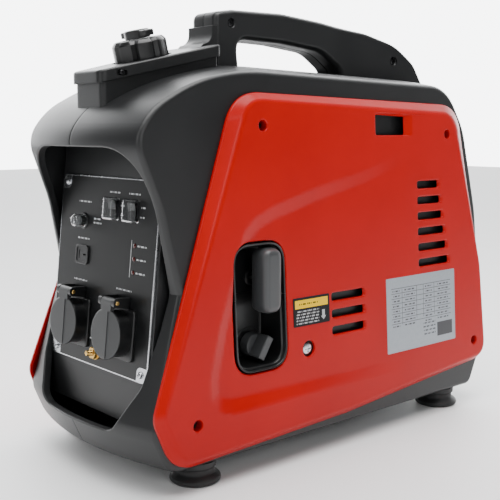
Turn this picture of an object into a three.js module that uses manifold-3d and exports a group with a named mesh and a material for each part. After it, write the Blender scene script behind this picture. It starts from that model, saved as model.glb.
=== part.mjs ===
// A suitcase-style portable inverter generator, in millimetres, +Z up.
// The origin is on the floor under the middle of the case. -X is the end with the control
// panel, -Y the side with the recoil starter, and every piece is a closed solid of its own.
import * as THREE from 'three';
import { mergeVertices } from 'three/addons/utils/BufferGeometryUtils.js';
import Module from 'manifold-3d';

const wasm = await Module();
wasm.setup();

// ---------------------------------------------------------------- driving dimensions
const GAP = 0.3; // between pieces that touch
const PLAY = 0.5; // round a piece that moves

const noseX = -248; // case side outline: hood, rear and floor of the case
const tailX = 252.5;
const caseTop = 386.5;
const caseBottom = 21.5;
const caseHalfWidth = 118.8; // at the floor; the sides lean in as they rise
const sideLean = 0.06; // per millimetre of height
const caseWall = 3;
const noseBulge = 10.8; // how far the middle of each end stands past its sides
const chinBulge = 20;
const tailBulge = 8.1;
const topCrown = 11;
const waistX = -207.7; // the pinch in the front edge
const waistZ = 182.7;

const mouthTop = 315; // opening in the front that the panel stands in
const frontRim = 17.8; // width of the case's front beside the mouth
const mouthHalf = caseHalfWidth - frontRim;
const mouthSill = 54;
const mouthRim = 6.5; // wall kept beside the mouth's upper corners

const coverProud = 10.7; // face of a side cover over the case side
const coverFoot = 0.4;
const coverWall = 3;
const coverRim = 3; // upright edge under the bevel
const coverScrew = 5.2; // radius of a screw hole
const coverSlotHalf = 4.3; // cooling slots in the covers
const coverSlotPitch = 17.55;
const serviceRows = 7;

const panelX = -232.3; // foot of the panel's front face
const panelZ = 99.1;
const panelTilt = THREE.MathUtils.degToRad(6.254);
const bulkheadClear = 10.5; // between the mouth's edge and the bulkhead
const bulkheadHalf = mouthHalf - bulkheadClear;
const panelMargin = 3;
const panelHalf = bulkheadHalf - panelMargin;
const panelHeight = 187.6;
const panelSheet = 2;
const bulkheadWall = 3;
const bulkheadBelow = 42; // under the foot of the panel
const bulkheadHeight = 268;
const bulkheadDepth = 24;
const screwInset = 10.4; // panel screws from the panel's edges
const screwRise = 7.8;
const panelScrewRadius = 3.4;

const socketPitch = 79.6; // the two mains sockets
const socketUp = 40.7;
const socketFlange = 48.5;
const socketFlangeThick = 3;
const collarRadius = 22.6;
const collarProud = 15;
const wellRadius = 19.6;
const wellDepth = 17; // behind the panel's face
const socketBack = 32;
const lidRadius = 24.2;
const lidThick = 3.4;
const lidGap = 0.4;
const lidPinUp = 30.4; // above the socket's centre
const lidPinProud = 14.8;
const lidPinRadius = 2;
const lidPinEnd = 0.4; // a pin's end past the ear
const lidBarrel = 4.6;
const lidEarHalf = 13.6;
const lidTabHalf = 8.6;

const switchWidth = 13; // rocker switches under clear boots
const switchHeight = 17;
const switchUp = 157.1;
const switchAt = [12.6, 46.5];
const switchTilt = THREE.MathUtils.degToRad(8);
const bootWall = 1;
const bootWidth = 18.4;
const bootHeight = 22.3;
const bootProud = 8.6;
const rockerBack = 9;

const breakerAt = [-40.7, 141.6];
const breakerRadius = 4.6;
const breakerProud = 6;
const breakerBoot = 6.9;
const breakerBootProud = 13.6;
const dcSocketAt = [-38.8, 107.6];
const dcSocketHalf = 12;
const dcSocketHeight = 19.4;
const lampX = 52.8;
const lampUps = { output_lamp: 125.1, overload_lamp: 112.5, oil_level_lamp: 99.9 };
const lampRadius = 2.3;
const groundUp = 14.5;
const groundBolt = 3;

const pocketLeft = -151; // starter pocket in the side cover
const pocketRight = -86;
const pocketBottom = 100;
const pocketTop = 223.5;
const pocketSplit = 171.5;
const pocketWall = 2.2;
const pocketFloorY = -84;
const pocketProud = 0.8;
const gripX = -106;
const gripZ = 186;
const gripWidth = 24;
const gripHeight = 64;
const gripFaceY = -123;
const gripBackY = -98;
const ropeRadius = 2;
const ropeEndY = 94;
const knobX = -108;
const knobZ = 119;
const knobRadius = 12.5;
const knobFaceY = -100;

const shaftZ = 148; // crankshaft, alternator and recoil pulley share this axis
const shaftRadius = 9;
const grooveRadius = gripZ - shaftZ - ropeRadius - GAP;
const pulleyRadius = 42;
const recoilRadius = 58;
const recoilWall = 3;
const recoilHalf = 17;
const rotorRadius = 63;
const rotorWall = 6;
const rotorFront = -76;
const rotorBack = -38;

const blockFront = -33;
const blockBack = 72;
const blockHalf = 50;
const blockTop = 204;
const finCount = 7;
const finPitch = 10;
const trayThick = 3.7;

const tankFront = -178;
const tankWall = 3;
const tankBack = 62;
const tankHalf = 84;
const tankUnderTop = 38.5; // top of the tank under the top of the case
const tankTop = caseTop - tankUnderTop;
const tankHeight = 63;
const tankBottom = tankTop - tankHeight;

const capX = -171.6; // fuel cap, its axis square to the sloping top cover
const capRadius = 27;
const capHeight = 19.4;
const capFlutes = 8;
const neckRadius = 15;
const deckFront = -236;
const deckBack = -106;
const deckFrontDrop = 1.5;
const deckFrontZ = caseTop - deckFrontDrop;
const deckSlope = 0.2308;
const deckThick = 11.7;
const deckFrontHalf = 26.5;
const deckBackHalf = 43.6;
const pedestalInset = 3;

const gripRise = 68.3; // carrying handle: top of the grip over the case
const gripTopZ = caseTop + gripRise;
const gripThick = 31.3;
const gripUnderZ = gripTopZ - gripThick;
const handleHalf = 20.6;
const handleRootHalf = 46;
const handleNoseX = -95;
const handleNoseRise = 49.5;
const handleNoseZ = caseTop + handleNoseRise;
const handleLegX = -61;
const handleBackInset = 43.5; // the rear root ends this far ahead of the tail
const handleBackX = tailX - handleBackInset;

const footFrontInset = 65.2; // foot centres from the two ends of the case
const footRearInset = 65.3;
const footY = 95;
const footRadius = 24.7;

// ---------------------------------------------------------------- materials
const paint = (color, roughness = 0.6, metalness = 0) =>
  new THREE.MeshStandardMaterial({ color, roughness, metalness });
const charcoal = paint('#26282a', 0.62);
const red = paint('#cf1f1a', 0.4);
const satinBlack = paint('#17191b', 0.5);
const greyPlastic = paint('#5b5e60', 0.5);
const clearPlastic = new THREE.MeshStandardMaterial({
  color: '#dfe6e8', roughness: 0.12, transparent: true, opacity: 0.35,
});
const rubber = paint('#1b1c1c', 0.85);
const steel = paint('#b9bcc0', 0.3, 1);
const brass = paint('#c9a24a', 0.3, 1);
const aluminium = paint('#9b9ea1', 0.45, 1);
const castIron = paint('#55585a', 0.7, 0.8);
const copper = paint('#a4552c', 0.4, 0.9);
const rope = paint('#2f2f2e', 0.9);
const labelGrey = paint('#a9adb1', 0.45);
const labelBlack = paint('#1a1a1a', 0.45);
const lampLens = paint('#7e1d18', 0.25);

// ---------------------------------------------------------------- geometry helpers
const smooth = THREE.MathUtils.smoothstep;
const lerp = THREE.MathUtils.lerp;
const v3 = (x, y, z) => new THREE.Vector3(x, y, z);

// A merged, position-only copy of a three.js geometry as a solid for joining and cutting.
function solid(geometry) {
  const bare = geometry.clone();
  for (const name of ['normal', 'uv']) bare.deleteAttribute(name);
  const merged = mergeVertices(bare, 1e-4);
  const mesh = new wasm.Mesh({
    numProp: 3,
    vertProperties: new Float32Array(merged.attributes.position.array),
    triVerts: new Uint32Array(merged.index.array),
  });
  return new wasm.Manifold(mesh);
}

function geometryOf(body) {
  const mesh = body.getMesh();
  const geometry = new THREE.BufferGeometry();
  geometry.setAttribute('position', new THREE.BufferAttribute(mesh.vertProperties, 3));
  geometry.setIndex(new THREE.BufferAttribute(mesh.triVerts, 1));
  geometry.computeVertexNormals();
  return geometry;
}

// Corners are [u, v, radius]; each is rounded over up to half of the sides beside it.
function rounded(corners, steps = 3) {
  const points = [];
  corners.forEach(([u, v, radius = 0], i) => {
    const corner = new THREE.Vector2(u, v);
    const before = new THREE.Vector2(...corners.at(i - 1).slice(0, 2)).sub(corner);
    const after = new THREE.Vector2(...corners[(i + 1) % corners.length].slice(0, 2)).sub(corner);
    if (radius === 0) {
      points.push(corner);
      return;
    }
    const half = Math.abs(before.angleTo(after)) / 2;
    const room = 0.49 * Math.min(before.length(), after.length());
    const reach = Math.min(radius / Math.tan(half), room);
    const start = corner.clone().add(before.setLength(reach));
    const end = corner.clone().add(after.setLength(reach));
    points.push(...new THREE.QuadraticBezierCurve(start, corner, end).getPoints(steps));
  });
  return points;
}

// A rectangle, centred on (u, v), with its corners rounded.
const roundedBox = (u, v, halfU, halfV, radius, steps = 2) =>
  rounded([
    [u - halfU, v - halfV, radius], [u + halfU, v - halfV, radius],
    [u + halfU, v + halfV, radius], [u - halfU, v + halfV, radius],
  ], steps);

// The outline moved inwards (or outwards, when distance is negative) along its own normals.
function inset(points, distance) {
  const turn = THREE.ShapeUtils.isClockWise(points) ? -1 : 1;
  return points.map((point, i) => {
    const before = point.clone().sub(points.at(i - 1)).normalize();
    const after = points[(i + 1) % points.length].clone().sub(point).normalize();
    const along = before.add(after).normalize();
    const inward = new THREE.Vector2(-along.y, along.x).multiplyScalar(turn);
    const stretch = 1 / Math.max(0.5, Math.abs(along.dot(after)));
    return point.clone().addScaledVector(inward, distance * stretch);
  });
}

// A skin through rings of equal count, closed at both ends by the outline's triangles.
function loft(outline, rings) {
  const count = outline.length;
  const positions = rings.flat().flatMap((p) => [p.x, p.y, p.z]);
  const faces = [];
  for (let r = 0; r < rings.length - 1; r += 1) {
    for (let i = 0; i < count; i += 1) {
      const a = r * count + i;
      const b = r * count + ((i + 1) % count);
      faces.push(a, b, b + count, a, b + count, a + count);
    }
  }
  const last = (rings.length - 1) * count;
  for (const [a, b, c] of THREE.ShapeUtils.triangulateShape(outline, [])) {
    faces.push(a, b, c, last + c, last + b, last + a);
  }
  // The caps above face backwards when the outline runs the other way round.
  if (!THREE.ShapeUtils.isClockWise(outline)) flipCaps(faces, rings.length, count);
  let volume = 0;
  const corner = (i) => v3(positions[3 * i], positions[3 * i + 1], positions[3 * i + 2]);
  for (let f = 0; f < faces.length; f += 3) {
    const [a, b, c] = [corner(faces[f]), corner(faces[f + 1]), corner(faces[f + 2])];
    volume += a.dot(b.cross(c));
  }
  if (volume < 0) {
    for (let f = 0; f < faces.length; f += 3) [faces[f], faces[f + 1]] = [faces[f + 1], faces[f]];
  }
  const geometry = new THREE.BufferGeometry();
  geometry.setAttribute('position', new THREE.Float32BufferAttribute(positions, 3));
  geometry.setIndex(faces);
  return solid(geometry);
}

function flipCaps(faces, ringCount, count) {
  for (let f = (ringCount - 1) * count * 6; f < faces.length; f += 3) {
    [faces[f], faces[f + 1]] = [faces[f + 1], faces[f]];
  }
}

// Basis for an extrusion: the outline's u and v, then the direction of its depth.
const BASES = {
  x: [v3(0, 1, 0), v3(0, 0, 1), v3(1, 0, 0)],
  y: [v3(1, 0, 0), v3(0, 0, 1), v3(0, -1, 0)],
  z: [v3(1, 0, 0), v3(0, 1, 0), v3(0, 0, 1)],
};

// Outline (y, z), (x, z) or (x, y) extruded along the named axis between two stations.
function extrude(outline, axis, from, to) {
  const shape = new THREE.Shape(outline);
  const geometry = new THREE.ExtrudeGeometry(shape, { depth: to - from, bevelEnabled: false });
  geometry.applyMatrix4(new THREE.Matrix4().makeBasis(...BASES[axis]));
  const start = axis === 'y' ? to : from;
  geometry.translate(...['x', 'y', 'z'].map((name) => (name === axis ? start : 0)));
  return solid(geometry);
}

function box(x0, x1, y0, y1, z0, z1) {
  const geometry = new THREE.BoxGeometry(x1 - x0, y1 - y0, z1 - z0);
  geometry.translate((x0 + x1) / 2, (y0 + y1) / 2, (z0 + z1) / 2);
  return solid(geometry);
}

// A round bar along an axis; at holds its place on the two other axes, in x, y, z order.
function rod(radius, axis, from, to, at = [0, 0], sides = 18, endRadius = radius) {
  const geometry = new THREE.CylinderGeometry(endRadius, radius, to - from, sides);
  if (axis === 'z') geometry.rotateX(Math.PI / 2);
  if (axis === 'x') geometry.rotateZ(-Math.PI / 2);
  const middle = (from + to) / 2;
  const places = { x: [middle, ...at], y: [at[0], middle, at[1]], z: [...at, middle] };
  geometry.translate(...places[axis]);
  return solid(geometry);
}

// A turned piece: [radius, height] pairs that start and end on the axis, standing along +Z.
function turned(profile, sides = 16) {
  const points = profile.map(([radius, height]) => new THREE.Vector2(radius, height));
  const geometry = new THREE.LatheGeometry(points, sides);
  geometry.rotateX(Math.PI / 2);
  return solid(geometry);
}

const join = (...bodies) => bodies.reduce((whole, body) => whole.add(body));
const cut = (body, ...tools) => tools.reduce((whole, tool) => whole.subtract(tool), body);
const at = (body, x, y, z) => body.translate([x, y, z]);
const spun = (body, x, y, z) => body.rotate([x, y, z]);

// ---------------------------------------------------------------- the object and its frames
const generator = new THREE.Group();

function add(parent, name, body, material) {
  const mesh = new THREE.Mesh(geometryOf(body), material);
  mesh.name = name;
  parent.add(mesh);
}

// The panel's own frame: +X to the right of someone facing it, +Y up it, +Z out of it.
const panelFrame = new THREE.Group();
panelFrame.matrixAutoUpdate = false;
panelFrame.matrix.makeBasis(
  v3(0, -1, 0),
  v3(Math.sin(panelTilt), 0, Math.cos(panelTilt)),
  v3(-Math.cos(panelTilt), 0, Math.sin(panelTilt)),
).setPosition(panelX, 0, panelZ);
generator.add(panelFrame);

// The cap's frame: +Z out of the sloping deck.
const deckZ = (x) => deckFrontZ + deckSlope * (x - deckFront);
const deckAngle = Math.atan(deckSlope);
const capFrame = new THREE.Group();
capFrame.position.set(capX, 0, deckZ(capX));
capFrame.rotation.y = -deckAngle;
generator.add(capFrame);

// ---------------------------------------------------------------- case
const sideY = (z) => caseHalfWidth - sideLean * z;

// Side outline of the case at its two side faces, from the chin round the floor and back.
const caseOutline = rounded([
  [noseX + 5, 60, 20], [noseX + 22, caseBottom, 20], [tailX - 27, caseBottom, 14],
  [tailX, 70, 16], [tailX - 10, 236, 200], [tailX - 30, caseTop - 55.5, 70],
  [tailX - 60.5, caseTop - 7.2, 24],
  [-120, caseTop, 60], [-178, caseTop - 10.5, 90], [noseX + 22, caseTop - 35.5, 34],
  [noseX, 322, 15], [-224, 260, 60], [waistX, waistZ, 2],
]);

// The ends and the top stand out most along the middle (t = 0) and not at all at the sides.
function swell(x, z, t) {
  const round = 1 - t * t;
  const nose = smooth(-x, 110, 215);
  const tail = smooth(x, tailX - 112.5, tailX - 22.5);
  const chin = 1 - smooth(z, 60, 320);
  const crown = topCrown * smooth(z, 300, 380) * smooth(x, -200, -70) * smooth(-x, -240, -150);
  return [
    x + round * (tail * tailBulge - nose * lerp(noseBulge, chinBulge, chin)),
    z + round * crown,
  ];
}

// The solid inside the case's skin, moved inwards by depth.
function caseBody(depth) {
  const outline = inset(caseOutline, depth);
  const stations = 6;
  const rings = [];
  for (let s = 0; s <= stations; s += 1) {
    const t = (2 * s) / stations - 1;
    rings.push(outline.map((p) => {
      const [x, z] = swell(p.x, p.y, t);
      return v3(x, t * (sideY(p.y) - depth), z);
    }));
  }
  return loft(outline, rings);
}

const mouth = rounded([
  [sideY(mouthTop) - mouthRim, mouthTop, 30], [sideY(270) - mouthRim, 270, 10],
  [mouthHalf - 6, 150, 10],
  [mouthHalf - 13, 98, 22], [mouthHalf - 39, mouthSill, 22],
  [-mouthHalf + 39, mouthSill, 22], [-mouthHalf + 13, 98, 22], [-mouthHalf + 6, 150, 10],
  [-sideY(270) + mouthRim, 270, 10], [-sideY(mouthTop) + mouthRim, mouthTop, 30],
]);

const deckTurn = -THREE.MathUtils.radToDeg(deckAngle);
const onDeck = (body) => at(spun(body, 0, deckTurn, 0), capX, 0, deckZ(capX));
const neckHole = onDeck(rod(neckRadius + 2, 'z', -70, 20));

const exhaustY = 46;
const exhaustZ = 214;
const exhaustRadius = 13;
const slotSideY = 48; // cooling slots in the rear, in two columns
const slotHalfLength = 31;
const slotHalfHeight = 3;
const rearSlotRows = 6;
const rearSlotZ = 84;
const rearSlotPitch = 13;
const throughRear = (outline) => extrude(outline, 'x', tailX - 50, tailX + 50);
const rearSlots = [];
for (let row = 0; row < rearSlotRows; row += 1) {
  for (const side of [-1, 1]) {
    const z = rearSlotZ + rearSlotPitch * row;
    rearSlots.push(throughRear(roundedBox(side * slotSideY, z, slotHalfLength, slotHalfHeight, 2, 1)));
  }
}

const pocketHole = (spare) => extrude(rounded([
  [pocketLeft - spare, pocketBottom - spare, 22], [pocketRight + spare, pocketBottom - spare, 22],
  [pocketRight + spare, pocketTop + spare, 22], [pocketLeft - spare, pocketTop + spare, 22],
]), 'y', -200, pocketFloorY + 20);

const shell = cut(
  caseBody(0), caseBody(caseWall), extrude(mouth, 'x', -320, -150), neckHole,
  rod(exhaustRadius + 1, 'x', tailX - 50, tailX + 50, [exhaustY, exhaustZ]), ...rearSlots,
);
const halfSpace = (side) => (side < 0
  ? box(-400, 400, -300, -GAP / 2, -50, 600)
  : box(-400, 400, GAP / 2, 300, -50, 600));

const starterHalf = cut(shell.intersect(halfSpace(-1)), pocketHole(1));
add(generator, 'case_half_starter_side', starterHalf, charcoal);
add(generator, 'case_half_service_side', shell.intersect(halfSpace(1)), charcoal);

// ---------------------------------------------------------------- side covers
const footOutline = rounded([
  [noseX + 2.5, 75, 22], [noseX + 22, 24.5, 34], [0, 32.5, 60], [tailX - 5.2, 53, 22],
  [tailX - 12.5, 168, 60], [tailX - 48.5, caseTop - 27.9, 38], [-137.6, caseTop - 19.9, 45],
], 4);
const faceOutline = rounded([
  [noseX + 10, 78, 18], [noseX + 29, 32, 28], [0, 40, 60], [tailX - 10.5, 60, 18],
  [tailX - 18, 168, 60], [tailX - 62.5, caseTop - 39, 30], [-126, caseTop - 28, 27],
], 4);

// One side cover as a tray: foot, upright rim, bevel and flat face, moved in by depth.
function coverBody(side, depth) {
  const foot = inset(footOutline, depth);
  const face = inset(faceOutline, depth * 0.6);
  const ring = (points, proud) => points.map((p) => v3(p.x, side * (sideY(p.y) + proud), p.y));
  const floor = depth > 0 ? -5 : coverFoot;
  return loft(foot, [
    ring(foot, floor), ring(foot, coverFoot + coverRim - depth * 0.5), ring(face, coverProud - depth),
  ]);
}

const coverHoles = [
  [-109.5, caseTop - 52], [tailX - 77.3, caseTop - 61.5], [tailX - 32.5, 78.2], [noseX + 46.1, 64.1],
];
const throughCover = (outline, side) =>
  extrude(outline, 'y', side < 0 ? -200 : 60, side < 0 ? -60 : 200);
const slotCut = (x0, x1, z, side) =>
  throughCover(roundedBox((x0 + x1) / 2, z, (x1 - x0) / 2, coverSlotHalf, 3, 1), side);
const roundCut = (radius, side, spot, sides) =>
  (side < 0 ? rod(radius, 'y', -200, -60, spot, sides) : rod(radius, 'y', 60, 200, spot, sides));
const screwCuts = (side) => coverHoles.map((spot) => roundCut(coverScrew, side, spot, 12));

const lockX = -56.2;
const lockZ = 111.4;
const lockHole = 8.2;
const lockPlay = 1.4;
const windowX = 81;
const windowZ = caseTop - 50.5;
const windowHalfX = 30;
const windowHalfZ = 11.5;
const windowCut = throughCover(roundedBox(windowX, windowZ, windowHalfX, windowHalfZ, 3, 2), -1);

// Slots under the caution label's level, and the intake slots, which lengthen downwards.
const starterSlotTop = 159.6;
const starterSlots = [0, 1, 2].map((row) => slotCut(-22, 29, starterSlotTop - coverSlotPitch * row, -1));
const intakeTop = 269;
const intakeFront = 118.5;
const intakeBack = 159.2;
const intakeGrowth = 3.3;
const intakeSlots = [0, 1, 2, 3, 4, 5].map((row) =>
  slotCut(intakeFront, intakeBack + intakeGrowth * row, intakeTop - coverSlotPitch * row, -1));
add(generator, 'starter_side_cover', cut(
  coverBody(-1, 0), coverBody(-1, coverWall), pocketHole(2), ...screwCuts(-1), windowCut,
  roundCut(lockHole, -1, [lockX, lockZ]), ...starterSlots, ...intakeSlots,
), red);

// Two columns of slots in the service-side cover, their far ends stepped to follow its edges.
const serviceSlots = [];
for (let row = 0; row < serviceRows; row += 1) {
  const rise = coverSlotPitch * row;
  serviceSlots.push(slotCut(-150 + 6 * row, -70 + 2 * row, 130 + rise, 1));
  serviceSlots.push(slotCut(112, 196 - 4 * row, 110 + rise, 1));
}
add(generator, 'service_side_cover', cut(
  coverBody(1, 0), coverBody(1, coverWall), ...screwCuts(1), ...serviceSlots,
), red);

// Quarter-turn cover lock: a slotted head in the hole of the starter-side cover.
const lockFace = sideY(lockZ) + coverProud;
add(generator, 'cover_lock_screw',
  rod(lockHole - lockPlay, 'y', -lockFace + 2, -sideY(lockZ) - 1, [lockX, lockZ]), steel);

// Labels lie on the cover's leaning face, a gap clear of it.
const labelGap = 0.1;
const labelThick = 0.5;
function label(name, x0, x1, z0, z1, material) {
  const flat = rounded([[x0, z0], [x1, z0], [x1, z1], [x0, z1]]);
  const ring = (proud) => flat.map((p) => v3(p.x, -(sideY(p.y) + coverProud + proud), p.y));
  add(generator, name, loft(flat, [ring(labelGap), ring(labelGap + labelThick)]), material);
}
label('rating_plate', 61.5, 182.5, 86, 169, labelGrey);
label('caution_label', -76.5, -26, 135.5, 164.5, labelBlack);

// ---------------------------------------------------------------- panel bulkhead and plate
// The bulkhead is a tray behind the panel, open at the back.
const windowHalf = panelHalf - 5;
const behind = -panelSheet - GAP;
const bulkhead = cut(
  extrude(roundedBox(0, bulkheadHeight / 2 - bulkheadBelow, bulkheadHalf, bulkheadHeight / 2, 6), 'z',
    behind - bulkheadDepth, behind),
  extrude(
    roundedBox(0, bulkheadHeight / 2 - bulkheadBelow, bulkheadHalf - bulkheadWall,
      bulkheadHeight / 2 - bulkheadWall, 4),
    'z', behind - bulkheadDepth - 1, behind - bulkheadWall,
  ),
  extrude(roundedBox(0, panelHeight / 2, windowHalf, panelHeight / 2 - 16, 4), 'z', behind - 10, 1),
  extrude(roundedBox(0, panelHeight / 2, windowHalf - 14, panelHeight / 2 - 4, 4), 'z', behind - 10, 1),
);
// Where the tray nears the case it is trimmed to a gap from it.
const caseZone = cut(
  caseBody(-GAP), caseBody(caseWall + GAP), extrude(inset(mouth, GAP), 'x', -320, -150),
).transform(panelFrame.matrix.clone().invert().elements);
add(panelFrame, 'panel_bulkhead', cut(bulkhead, caseZone), charcoal);

const socketX = [-socketPitch / 2, socketPitch / 2];
const screwSpots = [];
for (const x of [-panelHalf + screwInset, panelHalf - screwInset]) {
  for (const y of [screwRise, panelHeight - screwRise]) screwSpots.push([x, y]);
}
const plateThrough = (outline) => extrude(outline, 'z', -panelSheet - 1, 1);
add(panelFrame, 'control_panel', cut(
  extrude(roundedBox(0, panelHeight / 2, panelHalf, panelHeight / 2, 9), 'z', -panelSheet, 0),
  ...socketX.map((x) => rod(collarRadius + GAP, 'z', -9, 9, [x, socketUp], 28)),
  ...switchAt.map((x) => plateThrough(
    roundedBox(x, switchUp, switchWidth / 2 + PLAY, switchHeight / 2 + PLAY, 0.5),
  )),
  rod(breakerRadius + PLAY, 'z', -9, 9, breakerAt),
  plateThrough(roundedBox(...dcSocketAt, dcSocketHalf - 2 + GAP, dcSocketHeight / 2 - 2 + GAP, 2)),
  ...Object.values(lampUps).map((up) => rod(lampRadius + GAP, 'z', -9, 9, [lampX, up], 10)),
  rod(groundBolt + GAP, 'z', -9, 9, [0, groundUp], 16),
), satinBlack);

screwSpots.forEach(([x, y], i) => {
  add(panelFrame, `panel_screw_${i + 1}`, cut(
    rod(panelScrewRadius, 'z', GAP, GAP + 2.4, [x, y], 10, panelScrewRadius - 0.8),
    box(x - 2, x + 2, y - 0.4, y + 0.4, GAP + 1.4, GAP + 3),
    box(x - 0.4, x + 0.4, y - 2, y + 2, GAP + 1.4, GAP + 3),
  ), steel);
});

// ---------------------------------------------------------------- mains sockets and their lids
const pinUp = socketUp + lidPinUp;
const lidBack = collarProud + lidGap;

function mainsSocket(name, x) {
  const flange = extrude(
    roundedBox(x, socketUp, socketFlange / 2, socketFlange / 2, 4), 'z', GAP, socketFlangeThick,
  );
  const foot = extrude(roundedBox(x, pinUp - 3, lidEarHalf, 9, 1), 'z', GAP, socketFlangeThick);
  const collar = rod(collarRadius, 'z', -socketBack, collarProud, [x, socketUp], 28);
  const ear = (side) => {
    const inner = x + side * (lidTabHalf + PLAY);
    const outer = x + side * lidEarHalf;
    return extrude(roundedBox(pinUp, lidPinProud / 2 + 2.5, 5, lidPinProud / 2 + 2.3, 4), 'x',
      Math.min(inner, outer), Math.max(inner, outer));
  };
  add(panelFrame, name, cut(
    join(flange, foot, collar, ear(-1), ear(1)),
    rod(wellRadius, 'z', -wellDepth, 40, [x, socketUp], 24),
    rod(lidPinRadius + 0.1, 'x', x - 30, x + 30, [pinUp, lidPinProud], 12),
    rod(2.6, 'z', -wellDepth - 9, 0, [x - 9.5, socketUp], 8),
    rod(2.6, 'z', -wellDepth - 9, 0, [x + 9.5, socketUp], 8),
  ), satinBlack);
}

function socketLid(name, x) {
  const disc = rod(lidRadius, 'z', lidBack, lidBack + lidThick, [x, socketUp], 28);
  const tab = box(x - lidTabHalf, x + lidTabHalf, socketUp + 10, pinUp, lidBack, lidBack + lidThick);
  const barrel = rod(lidBarrel, 'x', x - lidTabHalf, x + lidTabHalf, [pinUp, lidPinProud], 12);
  add(panelFrame, name, cut(
    join(disc, tab, barrel),
    rod(lidPinRadius + 0.1, 'x', x - 30, x + 30, [pinUp, lidPinProud], 12),
  ), satinBlack);
}

['left', 'right'].forEach((hand, i) => {
  const x = socketX[i];
  mainsSocket(`mains_socket_${hand}`, x);
  socketLid(`socket_lid_${hand}`, x);
  const reach = lidEarHalf + lidPinEnd;
  const pin = rod(lidPinRadius, 'x', x - reach, x + reach, [pinUp, lidPinProud], 12);
  add(panelFrame, `lid_hinge_pin_${hand}`, pin, brass);
});

// ---------------------------------------------------------------- switches, breaker, lamps, earth
const rockerSide = rounded([
  [-switchHeight / 2, -rockerBack, 0], [switchHeight / 2, -rockerBack, 0],
  [switchHeight / 2, 3, 0], [0, 2, 0], [-switchHeight / 2, 3, 0],
].map(([up, out, radius]) => [up * 0.94, out, radius]));
['economy', 'engine'].forEach((use, i) => {
  const x = switchAt[i];
  const blade = extrude(rockerSide, 'x', x - switchWidth / 2 + PLAY, x + switchWidth / 2 - PLAY);
  const tilted = spun(blade, THREE.MathUtils.radToDeg(switchTilt), 0, 0);
  add(panelFrame, `${use}_switch_rocker`, at(tilted, 0, switchUp, 0), satinBlack);
  add(panelFrame, `${use}_switch_boot`, cut(
    extrude(roundedBox(x, switchUp, bootWidth / 2, bootHeight / 2, 3), 'z', GAP, bootProud),
    extrude(
      roundedBox(x, switchUp, bootWidth / 2 - bootWall, bootHeight / 2 - bootWall, 2),
      'z', -1, bootProud - bootWall,
    ),
  ), clearPlastic);
});

add(panelFrame, 'breaker_button', rod(breakerRadius, 'z', -9, breakerProud, breakerAt), greyPlastic);
add(panelFrame, 'breaker_boot', cut(
  rod(breakerBoot, 'z', GAP, breakerBootProud, breakerAt),
  rod(breakerBoot - bootWall, 'z', -1, breakerBootProud - bootWall, breakerAt),
), clearPlastic);

const [dcX, dcUp] = dcSocketAt;
add(panelFrame, 'dc_socket', cut(
  join(
    extrude(roundedBox(dcX, dcUp, dcSocketHalf, dcSocketHeight / 2, 5), 'z', GAP, 2),
    extrude(roundedBox(dcX, dcUp, dcSocketHalf - 2, dcSocketHeight / 2 - 2, 2), 'z', -18, 1),
  ),
  box(dcX - 5.2, dcX - 3.8, dcUp - 4.5, dcUp + 4.5, -12, 5),
  box(dcX + 2.5, dcX + 7.5, dcUp - 0.8, dcUp + 0.8, -12, 5),
), satinBlack);

for (const [name, up] of Object.entries(lampUps)) {
  add(panelFrame, name, rod(lampRadius, 'z', -5, 1, [lampX, up], 10), lampLens);
}

add(panelFrame, 'earth_terminal', join(
  rod(groundBolt, 'z', -10, 12, [0, groundUp], 12),
  rod(7, 'z', GAP, 2, [0, groundUp], 12),
  rod(5.6, 'z', 1.5, 7, [0, groundUp], 6),
), brass);

// ---------------------------------------------------------------- starter pocket and recoil
const pocketOutline = (z0, z1, spare, lower) => rounded([
  [pocketLeft + spare, z0 + spare, lower ? 21 : 0], [pocketRight - spare, z0 + spare, lower ? 21 : 0],
  [pocketRight - spare, z1 - spare, lower ? 0 : 21], [pocketLeft + spare, z1 - spare, lower ? 0 : 21],
]);
// A tub whose rim stands a little past the side cover's leaning face.
function pocketTub(z0, z1, lower) {
  const rimY = -(sideY((z0 + z1) / 2) + coverProud + pocketProud);
  const whole = extrude(pocketOutline(z0, z1, 0, lower), 'y', rimY, pocketFloorY);
  const hollowTop = lower ? z1 + pocketWall : z1;
  const hollowBottom = lower ? z0 : z0 - pocketWall;
  return cut(whole, extrude(pocketOutline(hollowBottom, hollowTop, pocketWall, lower), 'y',
    rimY - 5, pocketFloorY - pocketWall));
}
add(generator, 'starter_pocket_upper', cut(
  pocketTub(pocketSplit + GAP / 2, pocketTop, false),
  rod(ropeRadius + 1.2, 'y', -200, 0, [gripX, gripZ], 10),
), satinBlack);
add(generator, 'starter_pocket_lower', cut(
  pocketTub(pocketBottom, pocketSplit - GAP / 2, true),
  rod(4 + PLAY, 'y', -200, 0, [knobX, knobZ], 10),
), satinBlack);

// The grip is a waisted paddle with the rope knotted behind its face.
const gripPlan = rounded([
  [-gripWidth / 2, gripBackY, 5], [gripWidth / 2, gripBackY, 5],
  [gripWidth / 2, gripFaceY, 9], [-gripWidth / 2, gripFaceY, 9],
], 3);
const gripRing = (z, scale) => gripPlan.map((p) =>
  v3(gripX + p.x * scale, lerp((gripFaceY + gripBackY) / 2, p.y, scale), z));
const gripEnds = [[-0.5, 0.6], [-0.44, 0.9], [-0.3, 1], [0.3, 1], [0.44, 0.9], [0.5, 0.6]];
add(generator, 'starter_grip', loft(gripPlan,
  gripEnds.map(([part, scale]) => gripRing(gripZ + part * gripHeight, scale))), greyPlastic);
add(generator, 'starter_rope', rod(ropeRadius, 'y', gripBackY + GAP, ropeEndY, [gripX, gripZ], 8), rope);

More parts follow.
